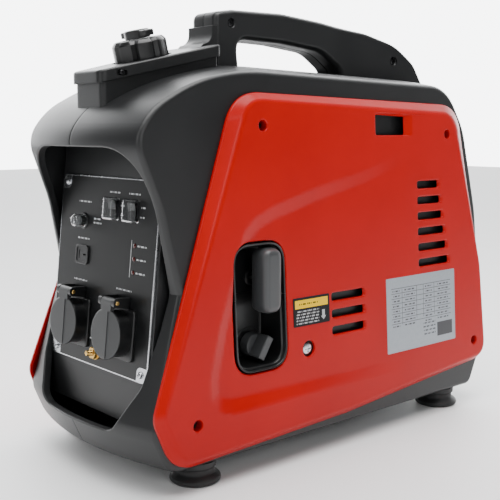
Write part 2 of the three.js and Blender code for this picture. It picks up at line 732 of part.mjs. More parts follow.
add(generator, 'choke_knob', join(
  rod(knobRadius, 'y', knobFaceY, pocketFloorY - pocketWall - PLAY, [knobX, knobZ], 18),
  box(knobX - 4, knobX + 4, knobFaceY - 13, knobFaceY + 1, knobZ - knobRadius, knobZ + knobRadius),
  rod(4, 'y', knobFaceY, pocketFloorY + 14, [knobX, knobZ], 10),
), greyPlastic);

const shaft = [0, shaftZ];
add(generator, 'recoil_housing', cut(
  rod(recoilRadius, 'x', gripX - recoilHalf, gripX + recoilHalf, shaft, 24),
  rod(recoilRadius - recoilWall, 'x', gripX - recoilHalf + recoilWall, gripX + recoilHalf + 1, shaft, 24),
  box(gripX - 5, gripX + 5, -80, 80, gripZ - 5, gripZ + 5),
), satinBlack);
add(generator, 'recoil_pulley', join(
  rod(grooveRadius, 'x', gripX - 7, gripX + 7, shaft, 24),
  rod(pulleyRadius, 'x', gripX - 7, gripX - 4, shaft, 24),
  rod(pulleyRadius, 'x', gripX + 4, gripX + 7, shaft, 24),
), greyPlastic);

// ---------------------------------------------------------------- engine and alternator
const rotorCup = cut(
  rod(rotorRadius, 'x', rotorFront, rotorBack, shaft, 24),
  rod(rotorRadius - rotorWall, 'x', rotorFront + rotorWall, rotorBack + 1, shaft, 24),
);
const fanBlades = [];
for (let blade = 0; blade < 8; blade += 1) {
  const one = box(rotorFront - 8, rotorFront + 1, -1.5, 1.5, 26, rotorRadius - 2);
  fanBlades.push(at(spun(one, 45 * blade, 0, 0), 0, 0, shaftZ));
}
add(generator, 'crankshaft_and_flywheel', join(
  rotorCup, rod(shaftRadius, 'x', rotorFront, blockBack + 12, shaft), ...fanBlades,
), castIron);

const poles = [];
for (let pole = 0; pole < 9; pole += 1) {
  const one = box(rotorFront + rotorWall + 3, rotorBack - 3, -5, 5, 24, rotorRadius - rotorWall - 2);
  poles.push(at(spun(one, 40 * pole, 0, 0), 0, 0, shaftZ));
}
add(generator, 'alternator_stator', cut(
  join(rod(30, 'x', rotorFront + rotorWall + 3, blockFront - GAP, shaft, 24), ...poles),
  rod(shaftRadius + 2, 'x', -200, 0, shaft),
), copper);

const trayTop = caseBottom + caseWall + GAP + trayThick;
const trayFront = noseX + 72;
const trayBack = tailX - 52.5;
const trayHalf = 86;
add(generator, 'base_tray',
  box(trayFront, trayBack, -trayHalf, trayHalf, trayTop - trayThick, trayTop), aluminium);

add(generator, 'engine_block', cut(
  extrude(rounded([
    [-blockHalf, trayTop + GAP, 3], [blockHalf, trayTop + GAP, 3], [blockHalf, blockTop, 26],
    [-blockHalf, blockTop, 26],
  ]), 'x', blockFront, blockBack),
  rod(shaftRadius + PLAY, 'x', -200, 200, shaft),
  box(-200, 200, -blockHalf + 14, blockHalf - 14, 0, trayTop + 44),
), aluminium);

const cylinderX = (blockFront + blockBack) / 2;
const finHalf = 34;
const finThick = 3;
const firstFin = 8;
const fins = [];
for (let fin = 0; fin < finCount; fin += 1) {
  const z = blockTop + GAP + firstFin + finPitch * fin;
  fins.push(box(cylinderX - finHalf, cylinderX + finHalf, -finHalf, finHalf, z, z + finThick));
}
const headTop = blockTop + finPitch * finCount + 4;
add(generator, 'finned_cylinder', join(
  rod(26, 'z', blockTop + GAP, headTop, [cylinderX, 0], 16), ...fins,
), aluminium);
const plugAt = [cylinderX, headTop - 4.5];
add(generator, 'spark_plug', join(
  rod(5, 'y', -finHalf - 28, -finHalf - GAP, plugAt, 12),
  rod(8, 'y', -finHalf - 10, -finHalf - 3, plugAt, 6),
), steel);
const carburettorBack = finHalf + 28;
const bowlTop = headTop - 50;
add(generator, 'carburettor', join(
  box(cylinderX - 14, cylinderX + 14, finHalf + GAP, carburettorBack, bowlTop, bowlTop + 28),
  rod(12, 'z', bowlTop - 16, bowlTop, [cylinderX, (finHalf + carburettorBack) / 2], 20),
), aluminium);
add(generator, 'air_filter_box', extrude(
  roundedBox(cylinderX, headTop - 40, 44, 32, 8), 'y', carburettorBack + GAP, carburettorBack + 30,
), satinBlack);
const oilCapAt = [blockBack - 22, 92];
add(generator, 'oil_filler_cap',
  rod(9, 'y', blockHalf + GAP, blockHalf + 14, oilCapAt, 20), greyPlastic);

const mufflerBack = tailX - 56.5;
const mufflerFront = blockBack + 24;
const mufflerZ = 206;
const mufflerHalfY = 62;
const mufflerHalfZ = 48;
const mufflerWall = 3;
const pipeWall = 2;
const exhaustAt = [exhaustY, exhaustZ];
add(generator, 'muffler', cut(
  extrude(roundedBox(0, mufflerZ, mufflerHalfY, mufflerHalfZ, 20), 'x', mufflerFront, mufflerBack),
  extrude(
    roundedBox(0, mufflerZ, mufflerHalfY - mufflerWall, mufflerHalfZ - mufflerWall, 18),
    'x', mufflerFront + mufflerWall, mufflerBack - mufflerWall,
  ),
  rod(exhaustRadius - pipeWall, 'x', mufflerBack - 5, mufflerBack + 5, exhaustAt),
), castIron);
const outletEnd = tailX + 3;
add(generator, 'exhaust_outlet', cut(
  rod(exhaustRadius, 'x', mufflerBack + GAP, outletEnd, exhaustAt, 24),
  rod(exhaustRadius - pipeWall, 'x', mufflerBack + 5, outletEnd + 1, exhaustAt, 24),
), steel);

const inverterFront = -177;
const inverterTop = 152;
const inverterFinCount = 8;
const inverterFinPitch = 14;
const inverterFins = [];
for (let fin = 0; fin < inverterFinCount; fin += 1) {
  const y = inverterFinPitch * fin - 34;
  inverterFins.push(box(inverterFront - 5, inverterFront + 1, y, y + 4, 44, inverterTop - 6));
}
add(generator, 'inverter_module', join(
  box(inverterFront, inverterFront + 43, -40, 84, trayTop + GAP + 4, inverterTop), ...inverterFins,
  box(inverterFront + 7, inverterFront + 37, -30, 74, trayTop + GAP, trayTop + GAP + 5),
), aluminium);

// ---------------------------------------------------------------- fuel tank, deck and cap
add(generator, 'fuel_tank', cut(
  extrude(rounded([
    [-tankHalf, tankBottom, 18], [tankHalf, tankBottom, 18], [tankHalf, tankTop, 16],
    [-tankHalf, tankTop, 16],
  ]), 'x', tankFront, tankBack),
  box(tankFront + tankWall, tankBack - tankWall, 12 - tankHalf, tankHalf - 12,
    tankBottom + tankWall, tankTop - tankWall),
  onDeck(rod(neckRadius + GAP, 'z', -80, 30)),
), satinBlack);
add(capFrame, 'filler_neck', cut(
  rod(neckRadius, 'z', -62, 3), rod(neckRadius - 2.5, 'z', -70, 10),
), steel);

// Deck outline in plan, and the solid between two heights measured square to +Z.
const deckPlan = (spare) => rounded([
  [deckFront + spare, -deckFrontHalf + spare, 7], [deckBack - spare, -deckBackHalf + spare, 5],
  [deckBack - spare + 6, -handleHalf, 0], [handleNoseX + 3, -handleHalf, 0],
  [handleNoseX + 3, handleHalf, 0], [deckBack - spare + 6, handleHalf, 0],
  [deckBack - spare, deckBackHalf - spare, 5], [deckFront + spare, deckFrontHalf - spare, 7],
]);
function deckSlab(spare, low, high) {
  const plan = deckPlan(spare);
  const ring = (height) => plan.map((p) => v3(p.x, p.y, height(p.x)));
  return loft(plan, [ring(low), ring(high)]);
}
const pedestal = deckSlab(pedestalInset, (x) => deckZ(x) - 60, (x) => deckZ(x) - deckThick + 1);
const towerFlare = extrude(rounded([
  [handleNoseX - 22, deckZ(handleNoseX - 22) - 2, 0], [handleNoseX + 3, deckZ(handleNoseX - 22) - 2, 0],
  [handleNoseX + 3, handleNoseZ - GAP, 0], [handleNoseX - 3, handleNoseZ - GAP, 2],
  [handleNoseX - 4, deckZ(handleNoseX) + 1.5, 14],
]), 'y', -handleHalf, handleHalf);
const screwPocket = extrude(
  roundedBox(deckFront + 22, deckFrontZ - 1.5, 5.5, 2.6, 2.5), 'y', -60, -deckFrontHalf,
);
add(generator, 'top_cover', cut(
  join(deckSlab(0, (x) => deckZ(x) - deckThick, deckZ), pedestal, towerFlare),
  caseBody(-GAP), onDeck(rod(capRadius + 3, 'z', -3, 20, [0, 0], 24)),
  onDeck(rod(neckRadius + GAP, 'z', -100, 10)), screwPocket,
), charcoal);

// Cap with straight flutes, then the air vent knob that turns on top of it.
const flutePoints = [];
for (let flute = 0; flute < capFlutes; flute += 1) {
  const turn = (2 * Math.PI) / capFlutes;
  for (const [part, deep] of [[0.1, 0], [0.5, 1.2], [0.9, 0], [1, 2.4]]) {
    const angle = turn * (flute + part);
    const radius = capRadius - deep;
    flutePoints.push(new THREE.Vector2(radius * Math.cos(angle), radius * Math.sin(angle)));
  }
}
const capBore = neckRadius + PLAY;
add(capFrame, 'fuel_cap', cut(
  extrude(flutePoints, 'z', -2.4, capHeight), rod(capBore, 'z', -5, 3 + PLAY),
), satinBlack);
const ventBase = capHeight + GAP;
add(capFrame, 'cap_vent_knob', join(
  rod(12.6, 'z', ventBase, ventBase + 8.5, [0, 0], 20, 12),
  extrude(roundedBox(0, 0, 6, 21.5, 3), 'z', ventBase + 1.4, ventBase + 7.5),
), satinBlack);

// ---------------------------------------------------------------- carrying handle
const handleSunkZ = caseTop - 6.5; // the roots are drawn on down to here, then cut to the case
const handleOutline = rounded([
  [handleNoseX, handleNoseZ, 2], [handleNoseX, gripTopZ - 5, 5], [-70, gripTopZ - 1, 20],
  [0, gripTopZ + 0.6, 60], [60, gripTopZ - 4, 60], [handleBackX - 83, gripTopZ - 12.5, 60],
  [handleBackX - 43, gripTopZ - 25, 40], [handleBackX - 15, gripTopZ - 46, 30],
  [handleBackX, caseTop + 1.5, 4], [handleBackX, caseTop - 14.5, 4],
  [handleBackX - 113, handleSunkZ, 2], [handleBackX - 118, caseTop + 11.5, 16],
  [60, gripUnderZ - 6, 40], [0, gripUnderZ - 0.3, 40], [handleLegX - 5, gripUnderZ + 1, 12],
  [handleLegX + 2, handleSunkZ, 4], [handleNoseX + 3.4, handleSunkZ, 4],
  [handleNoseX + 3.4, handleNoseZ, 0],
]);
// The grip keeps its width; the rear root spreads out to sit on the case.
const handleWidth = (x) => lerp(handleHalf, handleRootHalf, smooth(x, handleBackX - 129, handleBackX));
function handleBody() {
  const parts = [[-1, 0.9], [-0.86, 1], [0.86, 1], [1, 0.9]];
  const middleZ = (gripTopZ + gripUnderZ) / 2;
  const rings = parts.map(([t, full]) => handleOutline.map((p) => {
    const onGrip = p.y > gripUnderZ - 12 ? full : 1;
    return v3(p.x, t * handleWidth(p.x), lerp(middleZ, p.y, onGrip));
  }));
  return loft(handleOutline, rings);
}
const handle = cut(
  handleBody(), caseBody(-GAP), box(-300, handleNoseX + 3 + GAP, -60, 60, 300, handleNoseZ),
);
add(generator, 'handle_half_starter_side', handle.intersect(halfSpace(-1)), charcoal);
add(generator, 'handle_half_service_side', handle.intersect(halfSpace(1)), charcoal);

// ---------------------------------------------------------------- feet
const footProfile = [
  [0, 0], [footRadius - 1.5, 0], [footRadius, 2.5], [footRadius - 1, 6], [18.6, 9.5], [18.4, 14],
  [20.4, 15.5], [20.4, caseBottom - GAP], [0, caseBottom - GAP],
];
const footXs = { front: noseX + footFrontInset, rear: tailX - footRearInset };
for (const [end, x] of Object.entries(footXs)) {
  for (const [hand, sideSign] of [['starter', -1], ['service', 1]]) {
    const foot = at(turned(footProfile), x, sideSign * footY, 0);
    add(generator, `foot_${end}_${hand}_side`, foot, rubber);
  }
}

export default generator;
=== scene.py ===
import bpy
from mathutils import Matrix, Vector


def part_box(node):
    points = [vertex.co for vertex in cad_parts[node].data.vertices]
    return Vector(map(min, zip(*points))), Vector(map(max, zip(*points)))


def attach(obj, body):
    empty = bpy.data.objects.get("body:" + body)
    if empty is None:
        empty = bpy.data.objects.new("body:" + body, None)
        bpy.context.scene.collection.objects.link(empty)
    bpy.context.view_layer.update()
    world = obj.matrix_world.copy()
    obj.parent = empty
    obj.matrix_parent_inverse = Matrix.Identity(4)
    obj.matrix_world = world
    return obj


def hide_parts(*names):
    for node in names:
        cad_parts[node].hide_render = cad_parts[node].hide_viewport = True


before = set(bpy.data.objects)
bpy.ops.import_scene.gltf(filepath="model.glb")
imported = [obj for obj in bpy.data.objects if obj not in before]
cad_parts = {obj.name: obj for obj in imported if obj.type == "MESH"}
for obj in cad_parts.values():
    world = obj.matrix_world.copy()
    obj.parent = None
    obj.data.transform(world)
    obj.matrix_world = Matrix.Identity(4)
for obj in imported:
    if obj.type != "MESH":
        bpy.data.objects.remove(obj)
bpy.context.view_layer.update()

# %% [markdown]
# # A suitcase generator, piece by piece
# The imported solids are already in the scene as a fixed frame. They carry the right sizes and
# the joints, but their edges are knife sharp and their skins are coarse. Most of what shows
# is built again here as a finer skin on the same sizes, and rides on the body it belongs to.
# The lengths below are in millimetres, as a mould maker writes them, and a mesh is turned into
# metres once, at the moment it is made.

# %% Tools and the frame
from math import atan, cos, pi, radians, sin, sqrt, tan

import bmesh
import bpy
import numpy as np
from mathutils import Matrix, Vector
from mathutils.geometry import delaunay_2d_cdt
from mathutils.kdtree import KDTree

MM = 0.001
ROOT = "generator_body"


# %% [markdown]
# Two small sums come back all the time: a straight blend between two values, and a soft step
# that starts and ends level. A moulded shell is full of soft steps, because plastic flows
# badly round a sudden change of thickness.

# %% Blends
def lerp(first, second, part):
    return first + (second - first) * part


def ease(value, low, high):
    part = min(max((value - low) / (high - low), 0.0), 1.0)
    return part * part * (3 - 2 * part)


print("half way up a soft step:", ease(5, 0, 10))


# %% [markdown]
# Outlines are lists of corners, each with its own rounding, because that is how such a case is
# drawn. A curve object could do it too, but plain points can be moved inwards evenly, and a
# fillet along an edge is nothing but the same outline moved inwards a little at each step.

# %% Outlines
def rounded(corners, steps=8):
    """Corners are (u, v, radius); each is rounded over up to half of the sides beside it."""
    points = []
    for i, (u, v, radius) in enumerate(corners):
        here = Vector((u, v))
        before = Vector(corners[i - 1][:2]) - here
        after = Vector(corners[(i + 1) % len(corners)][:2]) - here
        if radius == 0:
            points.append(here)
            continue
        reach = min(radius / tan(before.angle(after) / 2), 0.49 * min(before.length, after.length))
        start, end = here + before.normalized() * reach, here + after.normalized() * reach
        for step in range(steps + 1):
            t = step / steps
            points.append(start * (1 - t) ** 2 + here * (2 * t * (1 - t)) + end * t * t)
    return points


def evened(points, spacing):
    """The same outline with no side longer than the spacing."""
    fine = []
    for i, point in enumerate(points):
        beyond = points[(i + 1) % len(points)]
        parts = max(1, round((beyond - point).length / spacing))
        fine += [point.lerp(beyond, part / parts) for part in range(parts)]
    return fine


def block(u, v, half_u, half_v, radius, steps=6):
    """A rectangle round (u, v) with rounded corners."""
    return rounded([(u - half_u, v - half_v, radius), (u + half_u, v - half_v, radius),
                    (u + half_u, v + half_v, radius), (u - half_u, v + half_v, radius)], steps)


def circle(u, v, radius, sides=48):
    return [Vector((u + radius * cos(2 * pi * i / sides), v + radius * sin(2 * pi * i / sides)))
            for i in range(sides)]


def inset(points, distance):
    """The outline moved inwards, or outwards when the distance is negative."""
    area = sum(a.x * b.y - b.x * a.y for a, b in zip(points, points[1:] + points[:1]))
    turn = 1 if area > 0 else -1
    moved = []
    for i, point in enumerate(points):
        before = (point - points[i - 1]).normalized()
        after = (points[(i + 1) % len(points)] - point).normalized()
        along = (before + after).normalized()
        stretch = 1 / max(0.5, abs(along.dot(after)))
        moved.append(point + Vector((-along.y, along.x)) * (turn * distance * stretch))
    return moved


print("points round a small block:", len(block(0, 0, 10, 10, 3)))


# %% [markdown]
# Rings of points become a skin. `loft` closes a stack of rings into a solid, `fill` closes a
# face that has holes in it with a net of triangles, fine enough to be pressed into relief, and
# `turned` spins a profile as a lathe does. Each solid is closed, so it could be printed.

# %% Skins
def made(name, mesh, place=None, sharp=32):
    """A bmesh in millimetres as an object in metres, which keeps the angle of its real edges for
    smoothing later.
    """
    bmesh.ops.remove_doubles(mesh, verts=mesh.verts, dist=1e-4)
    bmesh.ops.recalc_face_normals(mesh, faces=mesh.faces)
    if place:
        bmesh.ops.transform(mesh, matrix=place, verts=mesh.verts)
    bmesh.ops.scale(mesh, vec=(MM, MM, MM), verts=mesh.verts)
    data = bpy.data.meshes.new(name)
    mesh.to_mesh(data)
    mesh.free()
    thing = bpy.data.objects.new(name, data)
    bpy.context.scene.collection.objects.link(thing)
    thing["sharp"] = sharp
    return thing


def bridge(mesh, *rows):
    for near, far in zip(rows, rows[1:]):
        for i in range(len(near)):
            j = (i + 1) % len(near)
            mesh.faces.new((near[i], near[j], far[j], far[i]))


def loft(name, rings, place=None, capped=True, sharp=32):
    """A skin through rings of equal count, closed by two caps or, uncapped, into a hoop."""
    mesh = bmesh.new()
    rows = [[mesh.verts.new(p) for p in ring] for ring in rings]
    bridge(mesh, *rows)
    if capped:
        mesh.faces.new(rows[0])
        mesh.faces.new(rows[-1])
    else:
        bridge(mesh, rows[-1], rows[0])
    return made(name, mesh, place, sharp)


def within(points, loops):
    """Which of the points lie inside the first loop and outside the others."""
    hits = np.zeros(len(points), int)
    for loop in loops:
        ends = np.roll(loop, -1, axis=0)
        for (u0, v0), (u1, v1) in zip(loop, ends):
            if v0 != v1:
                crosses = (points[:, 1] >= v0) != (points[:, 1] >= v1)
                hits += crosses & (points[:, 0] < u0 + (points[:, 1] - v0) * (u1 - u0) / (v1 - v0))
    return hits % 2 == 1


def fill(mesh, loops, flat, lift, spacing, folds=()):
    """Triangles between an outer loop of vertices and its holes, over a grid that lift raises.

    flat gives a vertex's place in the sheet, and folds are extra points the net goes through.
    """
    rims = [np.array([flat(v.co) for v in loop]) for loop in loops]
    rim = np.concatenate(rims)
    edges, start = [], 0
    for loop in loops:
        edges += [(start + i, start + (i + 1) % len(loop)) for i in range(len(loop))]
        start += len(loop)
    low, high = rims[0].min(axis=0), rims[0].max(axis=0)
    u, v = np.meshgrid(np.arange(low[0], high[0], spacing), np.arange(low[1], high[1], spacing))
    grid = np.stack([u.ravel(), v.ravel()], axis=1)
    chosen = [np.array(folds)] if len(folds) else []
    for points in (grid, *chosen):
        taken = np.concatenate([rim, *chosen]) if points is grid else rim
        tree = KDTree(len(taken))
        for i, (a, b) in enumerate(taken):
            tree.insert((a, b, 0), i)
        tree.balance()
        room = spacing * (0.55 if points is grid else 0.4)
        clear = [tree.find((a, b, 0))[2] > room for a, b in points]
        kept = points[np.array(clear) & within(points, rims)]
        rim = np.concatenate([rim, kept])
    places, _, faces, came_from, _, _ = delaunay_2d_cdt(
        [Vector(p) for p in rim], edges, [], 0, 1e-5, True)
    corners = [v for loop in loops for v in loop]
    verts = []
    for place, origins in zip(places, came_from):
        old = [i for i in origins if i < len(corners)]
        verts.append(corners[old[0]] if old else mesh.verts.new(lift(*place)))
    spots = np.array([list(p) for p in places])
    centres = np.array([spots[list(face)].mean(axis=0) for face in faces])
    for face, keep in zip(faces, within(centres, rims)):
        if keep and len({verts[i] for i in face}) == 3:
            mesh.faces.new([verts[i] for i in face])


def turned(name, profile, place=None, sides=48, sharp=32):
    """A lathe piece round +Z from (radius, height) pairs that start and end on the axis."""
    mesh = bmesh.new()
    ends = [mesh.verts.new((0, 0, profile[0][1])), mesh.verts.new((0, 0, profile[-1][1]))]
    rows = [[mesh.verts.new((*p, height)) for p in circle(0, 0, radius, sides)]
            for radius, height in profile[1:-1]]
    bridge(mesh, *rows)
    for end, row in zip(ends, (rows[0], rows[-1])):
        for i in range(sides):
            mesh.faces.new((end, row[i], row[(i + 1) % sides]))
    return made(name, mesh, place, sharp)


def rod(radius, low, high, place, sides=48):
    """A plain round tool, for boring holes."""
    return turned("rod", [(0, low), (radius, low), (radius, high), (0, high)], place, sides)


def levels(name, outline, steps, place=None, sharp=32):
    """An outline stacked up at (inset, height) steps."""
    return loft(name, [[(*p, height) for p in inset(outline, by)] for by, height in steps],
                place, sharp=sharp)


def lip(radius, height, parts=4):
    """The (inset, height) steps of a rounded upper edge."""
    turns = [pi / 2 * i / parts for i in range(parts + 1)]
    return [(radius * (1 - cos(turn)), height - radius + radius * sin(turn)) for turn in turns]


def carve(body, *tools, how="DIFFERENCE"):
    """Cuts the tools out of the body, or joins them to it, and clears them away."""
    for tool in tools:
        step = body.modifiers.new("step", "BOOLEAN")
        step.operation, step.object, step.solver = how, tool, "EXACT"
    ready = body.evaluated_get(bpy.context.evaluated_depsgraph_get())
    body.data = bpy.data.meshes.new_from_object(ready)
    body.modifiers.clear()
    for tool in tools:
        bpy.data.objects.remove(tool)
    return body


def joined(name, *things):
    """Several solids as one piece, each still closed by itself."""
    mesh = bmesh.new()
    for thing in things:
        mesh.from_mesh(thing.data)
    data = bpy.data.meshes.new(name)
    mesh.to_mesh(data)
    mesh.free()
    for thing in things[1:]:
        bpy.data.objects.remove(thing)
    things[0].data = data
    things[0].name = name
    return things[0]


print("a soft edge takes", len(lip(1, 5)), "rings")

# %% [markdown]
# A finish is a recipe of nodes. Written out by hand, node trees are long and hard to read, so a
# socket is wrapped as a `Wire` and sums on wires add the Math nodes. Colours would turn grey in
# a Math node, so they are mixed by `blend`. Whatever is even over the whole surface is set on the
# shader's own socket.

# %% Wires and recipes
class Wire:
    """One output of a material's nodes, with arithmetic."""

    def __init__(self, recipe, socket):
        self.recipe, self.socket = recipe, socket

    def sum(self, how, *values):
        return self.recipe.node("ShaderNodeMath", {"operation": how}, dict(enumerate(values)))

    def __add__(self, other):
        return self.sum("ADD", self, other)

    def __sub__(self, other):
        return self.sum("SUBTRACT", self, other)

    def __mul__(self, other):
        return self.sum("MULTIPLY", self, other)

    def over(self, edge):
        return self.sum("GREATER_THAN", self, edge)

    def wave(self):
        return self.sum("SINE", self)


class Recipe:
    """A new material whose nodes come from one method."""

    def __init__(self, name):
        self.material = bpy.data.materials.new(name)
        self.material.use_nodes = True
        self.tree = self.material.node_tree
        self.tree.nodes.clear()

    def node(self, kind, settings=None, inputs=None, output=0):
        new = self.tree.nodes.new(kind)
        for key, value in (settings or {}).items():
            setattr(new, key, value)
        for key, value in (inputs or {}).items():
            if isinstance(value, Wire):
                self.tree.links.new(value.socket, new.inputs[key])
            else:
                new.inputs[key].default_value = value
        return Wire(self, new.outputs[output]) if len(new.outputs) else None

    def blend(self, part, first, second):
        return self.node("ShaderNodeMix", {"data_type": "RGBA"}, {0: part, 6: first, 7: second}, 2)

    def noise(self, scale, detail=3.0, rough=0.5):
        place = self.node("ShaderNodeTexCoord", output="Object")
        return self.node("ShaderNodeTexNoise", None, {
            "Vector": place, "Scale": scale, "Detail": detail, "Roughness": rough})

    def axes(self):
        """X, Y and Z of the surface, in metres."""
        place = self.node("ShaderNodeTexCoord", output="Object")
        return [self.node("ShaderNodeSeparateXYZ", None, {0: place}, i) for i in range(3)]

    def relief(self, height, strength, deep=0.0003):
        return self.node("ShaderNodeBump", None, {
            "Height": height, "Strength": strength, "Distance": deep})

    def surface(self, sockets):
        shader = self.node("ShaderNodeBsdfPrincipled", None, sockets)
        self.node("ShaderNodeOutputMaterial", None, {"Surface": shader})
        return self.material


def tint(red, green, blue, by=1.0):
    return (red * by, green * by, blue * by, 1.0)


print("a tint at half strength:", tint(0.4, 0.2, 0.1, 0.5))

# %% [markdown]
# Moulded plastic is the skin of nearly everything here. The mould is etched with a fine grain,
# which breaks up the light, and the flow of the plastic leaves broad, faint differences in
# gloss. One function makes them all: a fine noise for the grain, a broad one for the gloss.

# %% Moulded plastics
def moulded(name, colour, rough, grain, size=1400.0, uneven=0.1, even=None):
    recipe = Recipe(name)
    broad, fine = recipe.noise(14.0, 4.0), recipe.noise(size, 2.0, 0.6)
    shade = recipe.blend(broad, tint(*colour, 0.86), tint(*colour, 1.14))
    return recipe.surface({
        "Base Color": shade, "Roughness": broad * uneven + (rough - uneven / 2),
        "Normal": recipe.relief(fine, grain), **(even or {})})


FINISH = {
    "charcoal_plastic": moulded("charcoal_moulding", (0.0075, 0.0079, 0.0084), 0.40, 0.2, 1300.0,
                                0.1, {"Specular IOR Level": 0.45}),
    "red_cover_plastic": moulded("red_moulding", (0.40, 0.0012, 0.0006), 0.36, 0.05, 700.0, 0.06,
                                 {"Specular IOR Level": 0.16, "Coat Weight": 0.05,
                                  "Coat Roughness": 0.15}),
    "satin_black_plastic": moulded("satin_black_moulding", (0.0035, 0.0037, 0.0040), 0.34, 0.12),
    "grey_plastic": moulded("mid_grey_moulding", (0.040, 0.042, 0.044), 0.40, 0.16),
    "rubber": moulded("foot_rubber", (0.012, 0.012, 0.0125), 0.6, 0.5, 700.0, 0.16),
    "lamp_lens": moulded("dark_red_lens", (0.05, 0.004, 0.003), 0.12, 0.02),
}
LID_BLACK = moulded("matt_lid_moulding", (0.020, 0.021, 0.022), 0.46, 0.2)
DARK_STEEL = moulded("blackened_screw", (0.03, 0.03, 0.032), 0.35, 0.1, 900.0, 0.1,
                     {"Metallic": 0.8})
print("plastics:", sorted(FINISH))

# %% [markdown]
# Metals differ by how they were worked. Zinc plating is bright with a faint cloud, a casting is
# dull and pitted, foil is brushed one way. The roughness carries most of it.

# %% Metals, rope and clear plastic
def metal(name, colour, rough, pits, size, cloud=0.12):
    recipe = Recipe(name)
    broad, fine = recipe.noise(60.0, 4.0), recipe.noise(size, 3.0)
    return recipe.surface({
        "Base Color": recipe.blend(broad, tint(*colour, 0.82), tint(*colour, 1.1)),
        "Roughness": broad * cloud + rough, "Metallic": 1.0, "Normal": recipe.relief(fine, pits)})


FINISH["steel"] = metal("zinc_plate", (0.62, 0.63, 0.65), 0.2, 0.05, 900.0)
FINISH["brass"] = metal("turned_brass", (0.72, 0.46, 0.14), 0.22, 0.05, 900.0)
FINISH["cast_aluminium"] = metal("cast_aluminium", (0.44, 0.45, 0.46), 0.42, 0.5, 400.0)
FINISH["cast_iron"] = metal("cast_iron", (0.14, 0.14, 0.145), 0.55, 0.6, 350.0)
FINISH["copper_winding"] = metal("enamelled_copper", (0.5, 0.19, 0.07), 0.3, 0.4, 500.0)


def braided():
    recipe = Recipe("braided_rope")
    _, along, height = recipe.axes()
    weave = (along * 2600.0 + height * 1800.0).wave() * (along * 2600.0 - height * 1800.0).wave()
    dark, light = tint(0.02, 0.02, 0.02), tint(0.06, 0.06, 0.06)
    return recipe.surface({
        "Base Color": recipe.blend(weave * 0.5 + 0.5, dark, light),
        "Roughness": 0.8, "Normal": recipe.relief(weave, 0.6, 0.0005)})


def see_through():
    recipe = Recipe("clear_soft_plastic")
    cloud = recipe.noise(120.0, 2.0)
    return recipe.surface({
        "Base Color": recipe.blend(cloud, tint(0.9, 0.93, 0.94), tint(1, 1, 1)),
        "Roughness": cloud * 0.06 + 0.03, "Transmission Weight": 1.0, "IOR": 1.4})


FINISH["rope"] = braided()
FINISH["clear_boot"] = see_through()
print("finishes:", len(FINISH))


# %% [markdown]
# Every piece ends the same way: its real edges are marked sharp, its normals are weighted by
# area so that a flat face stays flat up to its fillet, it gets its finish, and it is fixed to
# the body that carries it, while the solids it stands for are hidden.

# %% Fitting a piece
def fit(thing, body, slot, *nodes, finish=None):
    thing.data.shade_smooth()
    thing.data.set_sharp_from_angle(angle=radians(thing["sharp"]))
    del thing["sharp"]
    normals = thing.modifiers.new("weighted_normals", "WEIGHTED_NORMAL")
    normals.keep_sharp = True
    thing.data.materials.clear()
    thing.data.materials.append(finish or FINISH[slot])
    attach(thing, body)
    if nodes:
        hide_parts(*nodes)
    print(thing.name, len(thing.data.polygons), "faces on", body)
    return thing


# %% [markdown]
# # The case
# The case is one closed tub split down the middle: a hood over the panel, a floor, a tail. Seen
# from the side it is an outline with a pinched waist at the front. Seen from above its ends
# bulge, so each slice away from the side is pushed out a little. The two halves are lofted
# slice by slice from the seam to the side, with the fillet of the side edge as the last slices.

# %% The case's own shape
NOSE, TAIL, CASE_TOP, CASE_FOOT = -248.0, 252.5, 386.5, 21.5
CASE_HALF, LEAN, CASE_WALL = 118.8, 0.06, 3.0
NOSE_BULGE, CHIN_BULGE, TAIL_BULGE, CROWN = 10.8, 20.0, 8.1, 11.0
CASE_EDGE, SEAM, SEAM_EDGE = 4.5, 0.15, 0.7
SEAT = 0.4  # a side cover's foot over the case side
WAIST = (-207.7, 182.7)


def side_y(z):
    """Half width of the case, which leans in as it rises."""
    return CASE_HALF - LEAN * z


case_outline = evened(rounded([
    (NOSE + 5, 60, 20), (NOSE + 22, CASE_FOOT, 20), (TAIL - 27, CASE_FOOT, 14), (TAIL, 70, 16),
    (TAIL - 10, 236, 200), (TAIL - 30, 331, 70), (192, CASE_TOP - 7.2, 60), (-120, CASE_TOP, 300),
    (-178, CASE_TOP - 10.5, 170), (NOSE + 22, 351, 80), (NOSE, 322, 32), (-224, 260, 120),
    (*WAIST, 2)], 12), 9)


def swell(x, z, part):
    """Where a point of the side outline goes at a share of the half width."""
    round_off = 1 - part * part
    nose, tail = ease(-x, 110, 215), ease(x, 140, 230)
    chin = 1 - ease(z, 60, 320)
    crown = CROWN * ease(z, 300, 380) * ease(x, -200, -70) * ease(-x, -240, -150)
    push = tail * TAIL_BULGE - nose * lerp(NOSE_BULGE, CHIN_BULGE, chin)
    return x + round_off * push, z + round_off * crown


def slice_at(depth, hand, reach):
    """A ring of the case at a depth under its skin; reach gives the half width at a height."""
    ring = []
    for point in inset(case_outline, depth):
        y = reach(point.y)
        x, z = swell(point.x, point.y, min(1.0, abs(y) / side_y(point.y)))
        ring.append((x, hand * y, z))
    return ring


print("outline points:", len(case_outline), "half width at the floor:", side_y(CASE_FOOT))

# %% [markdown]
# The mouth that frames the panel, the rear louvres and the starter's opening are cut out with
# booleans, which is the honest way to open a moulded tub. A boolean leaves a bare edge, so the
# mouth's edge gets a rolled lip of its own further down.

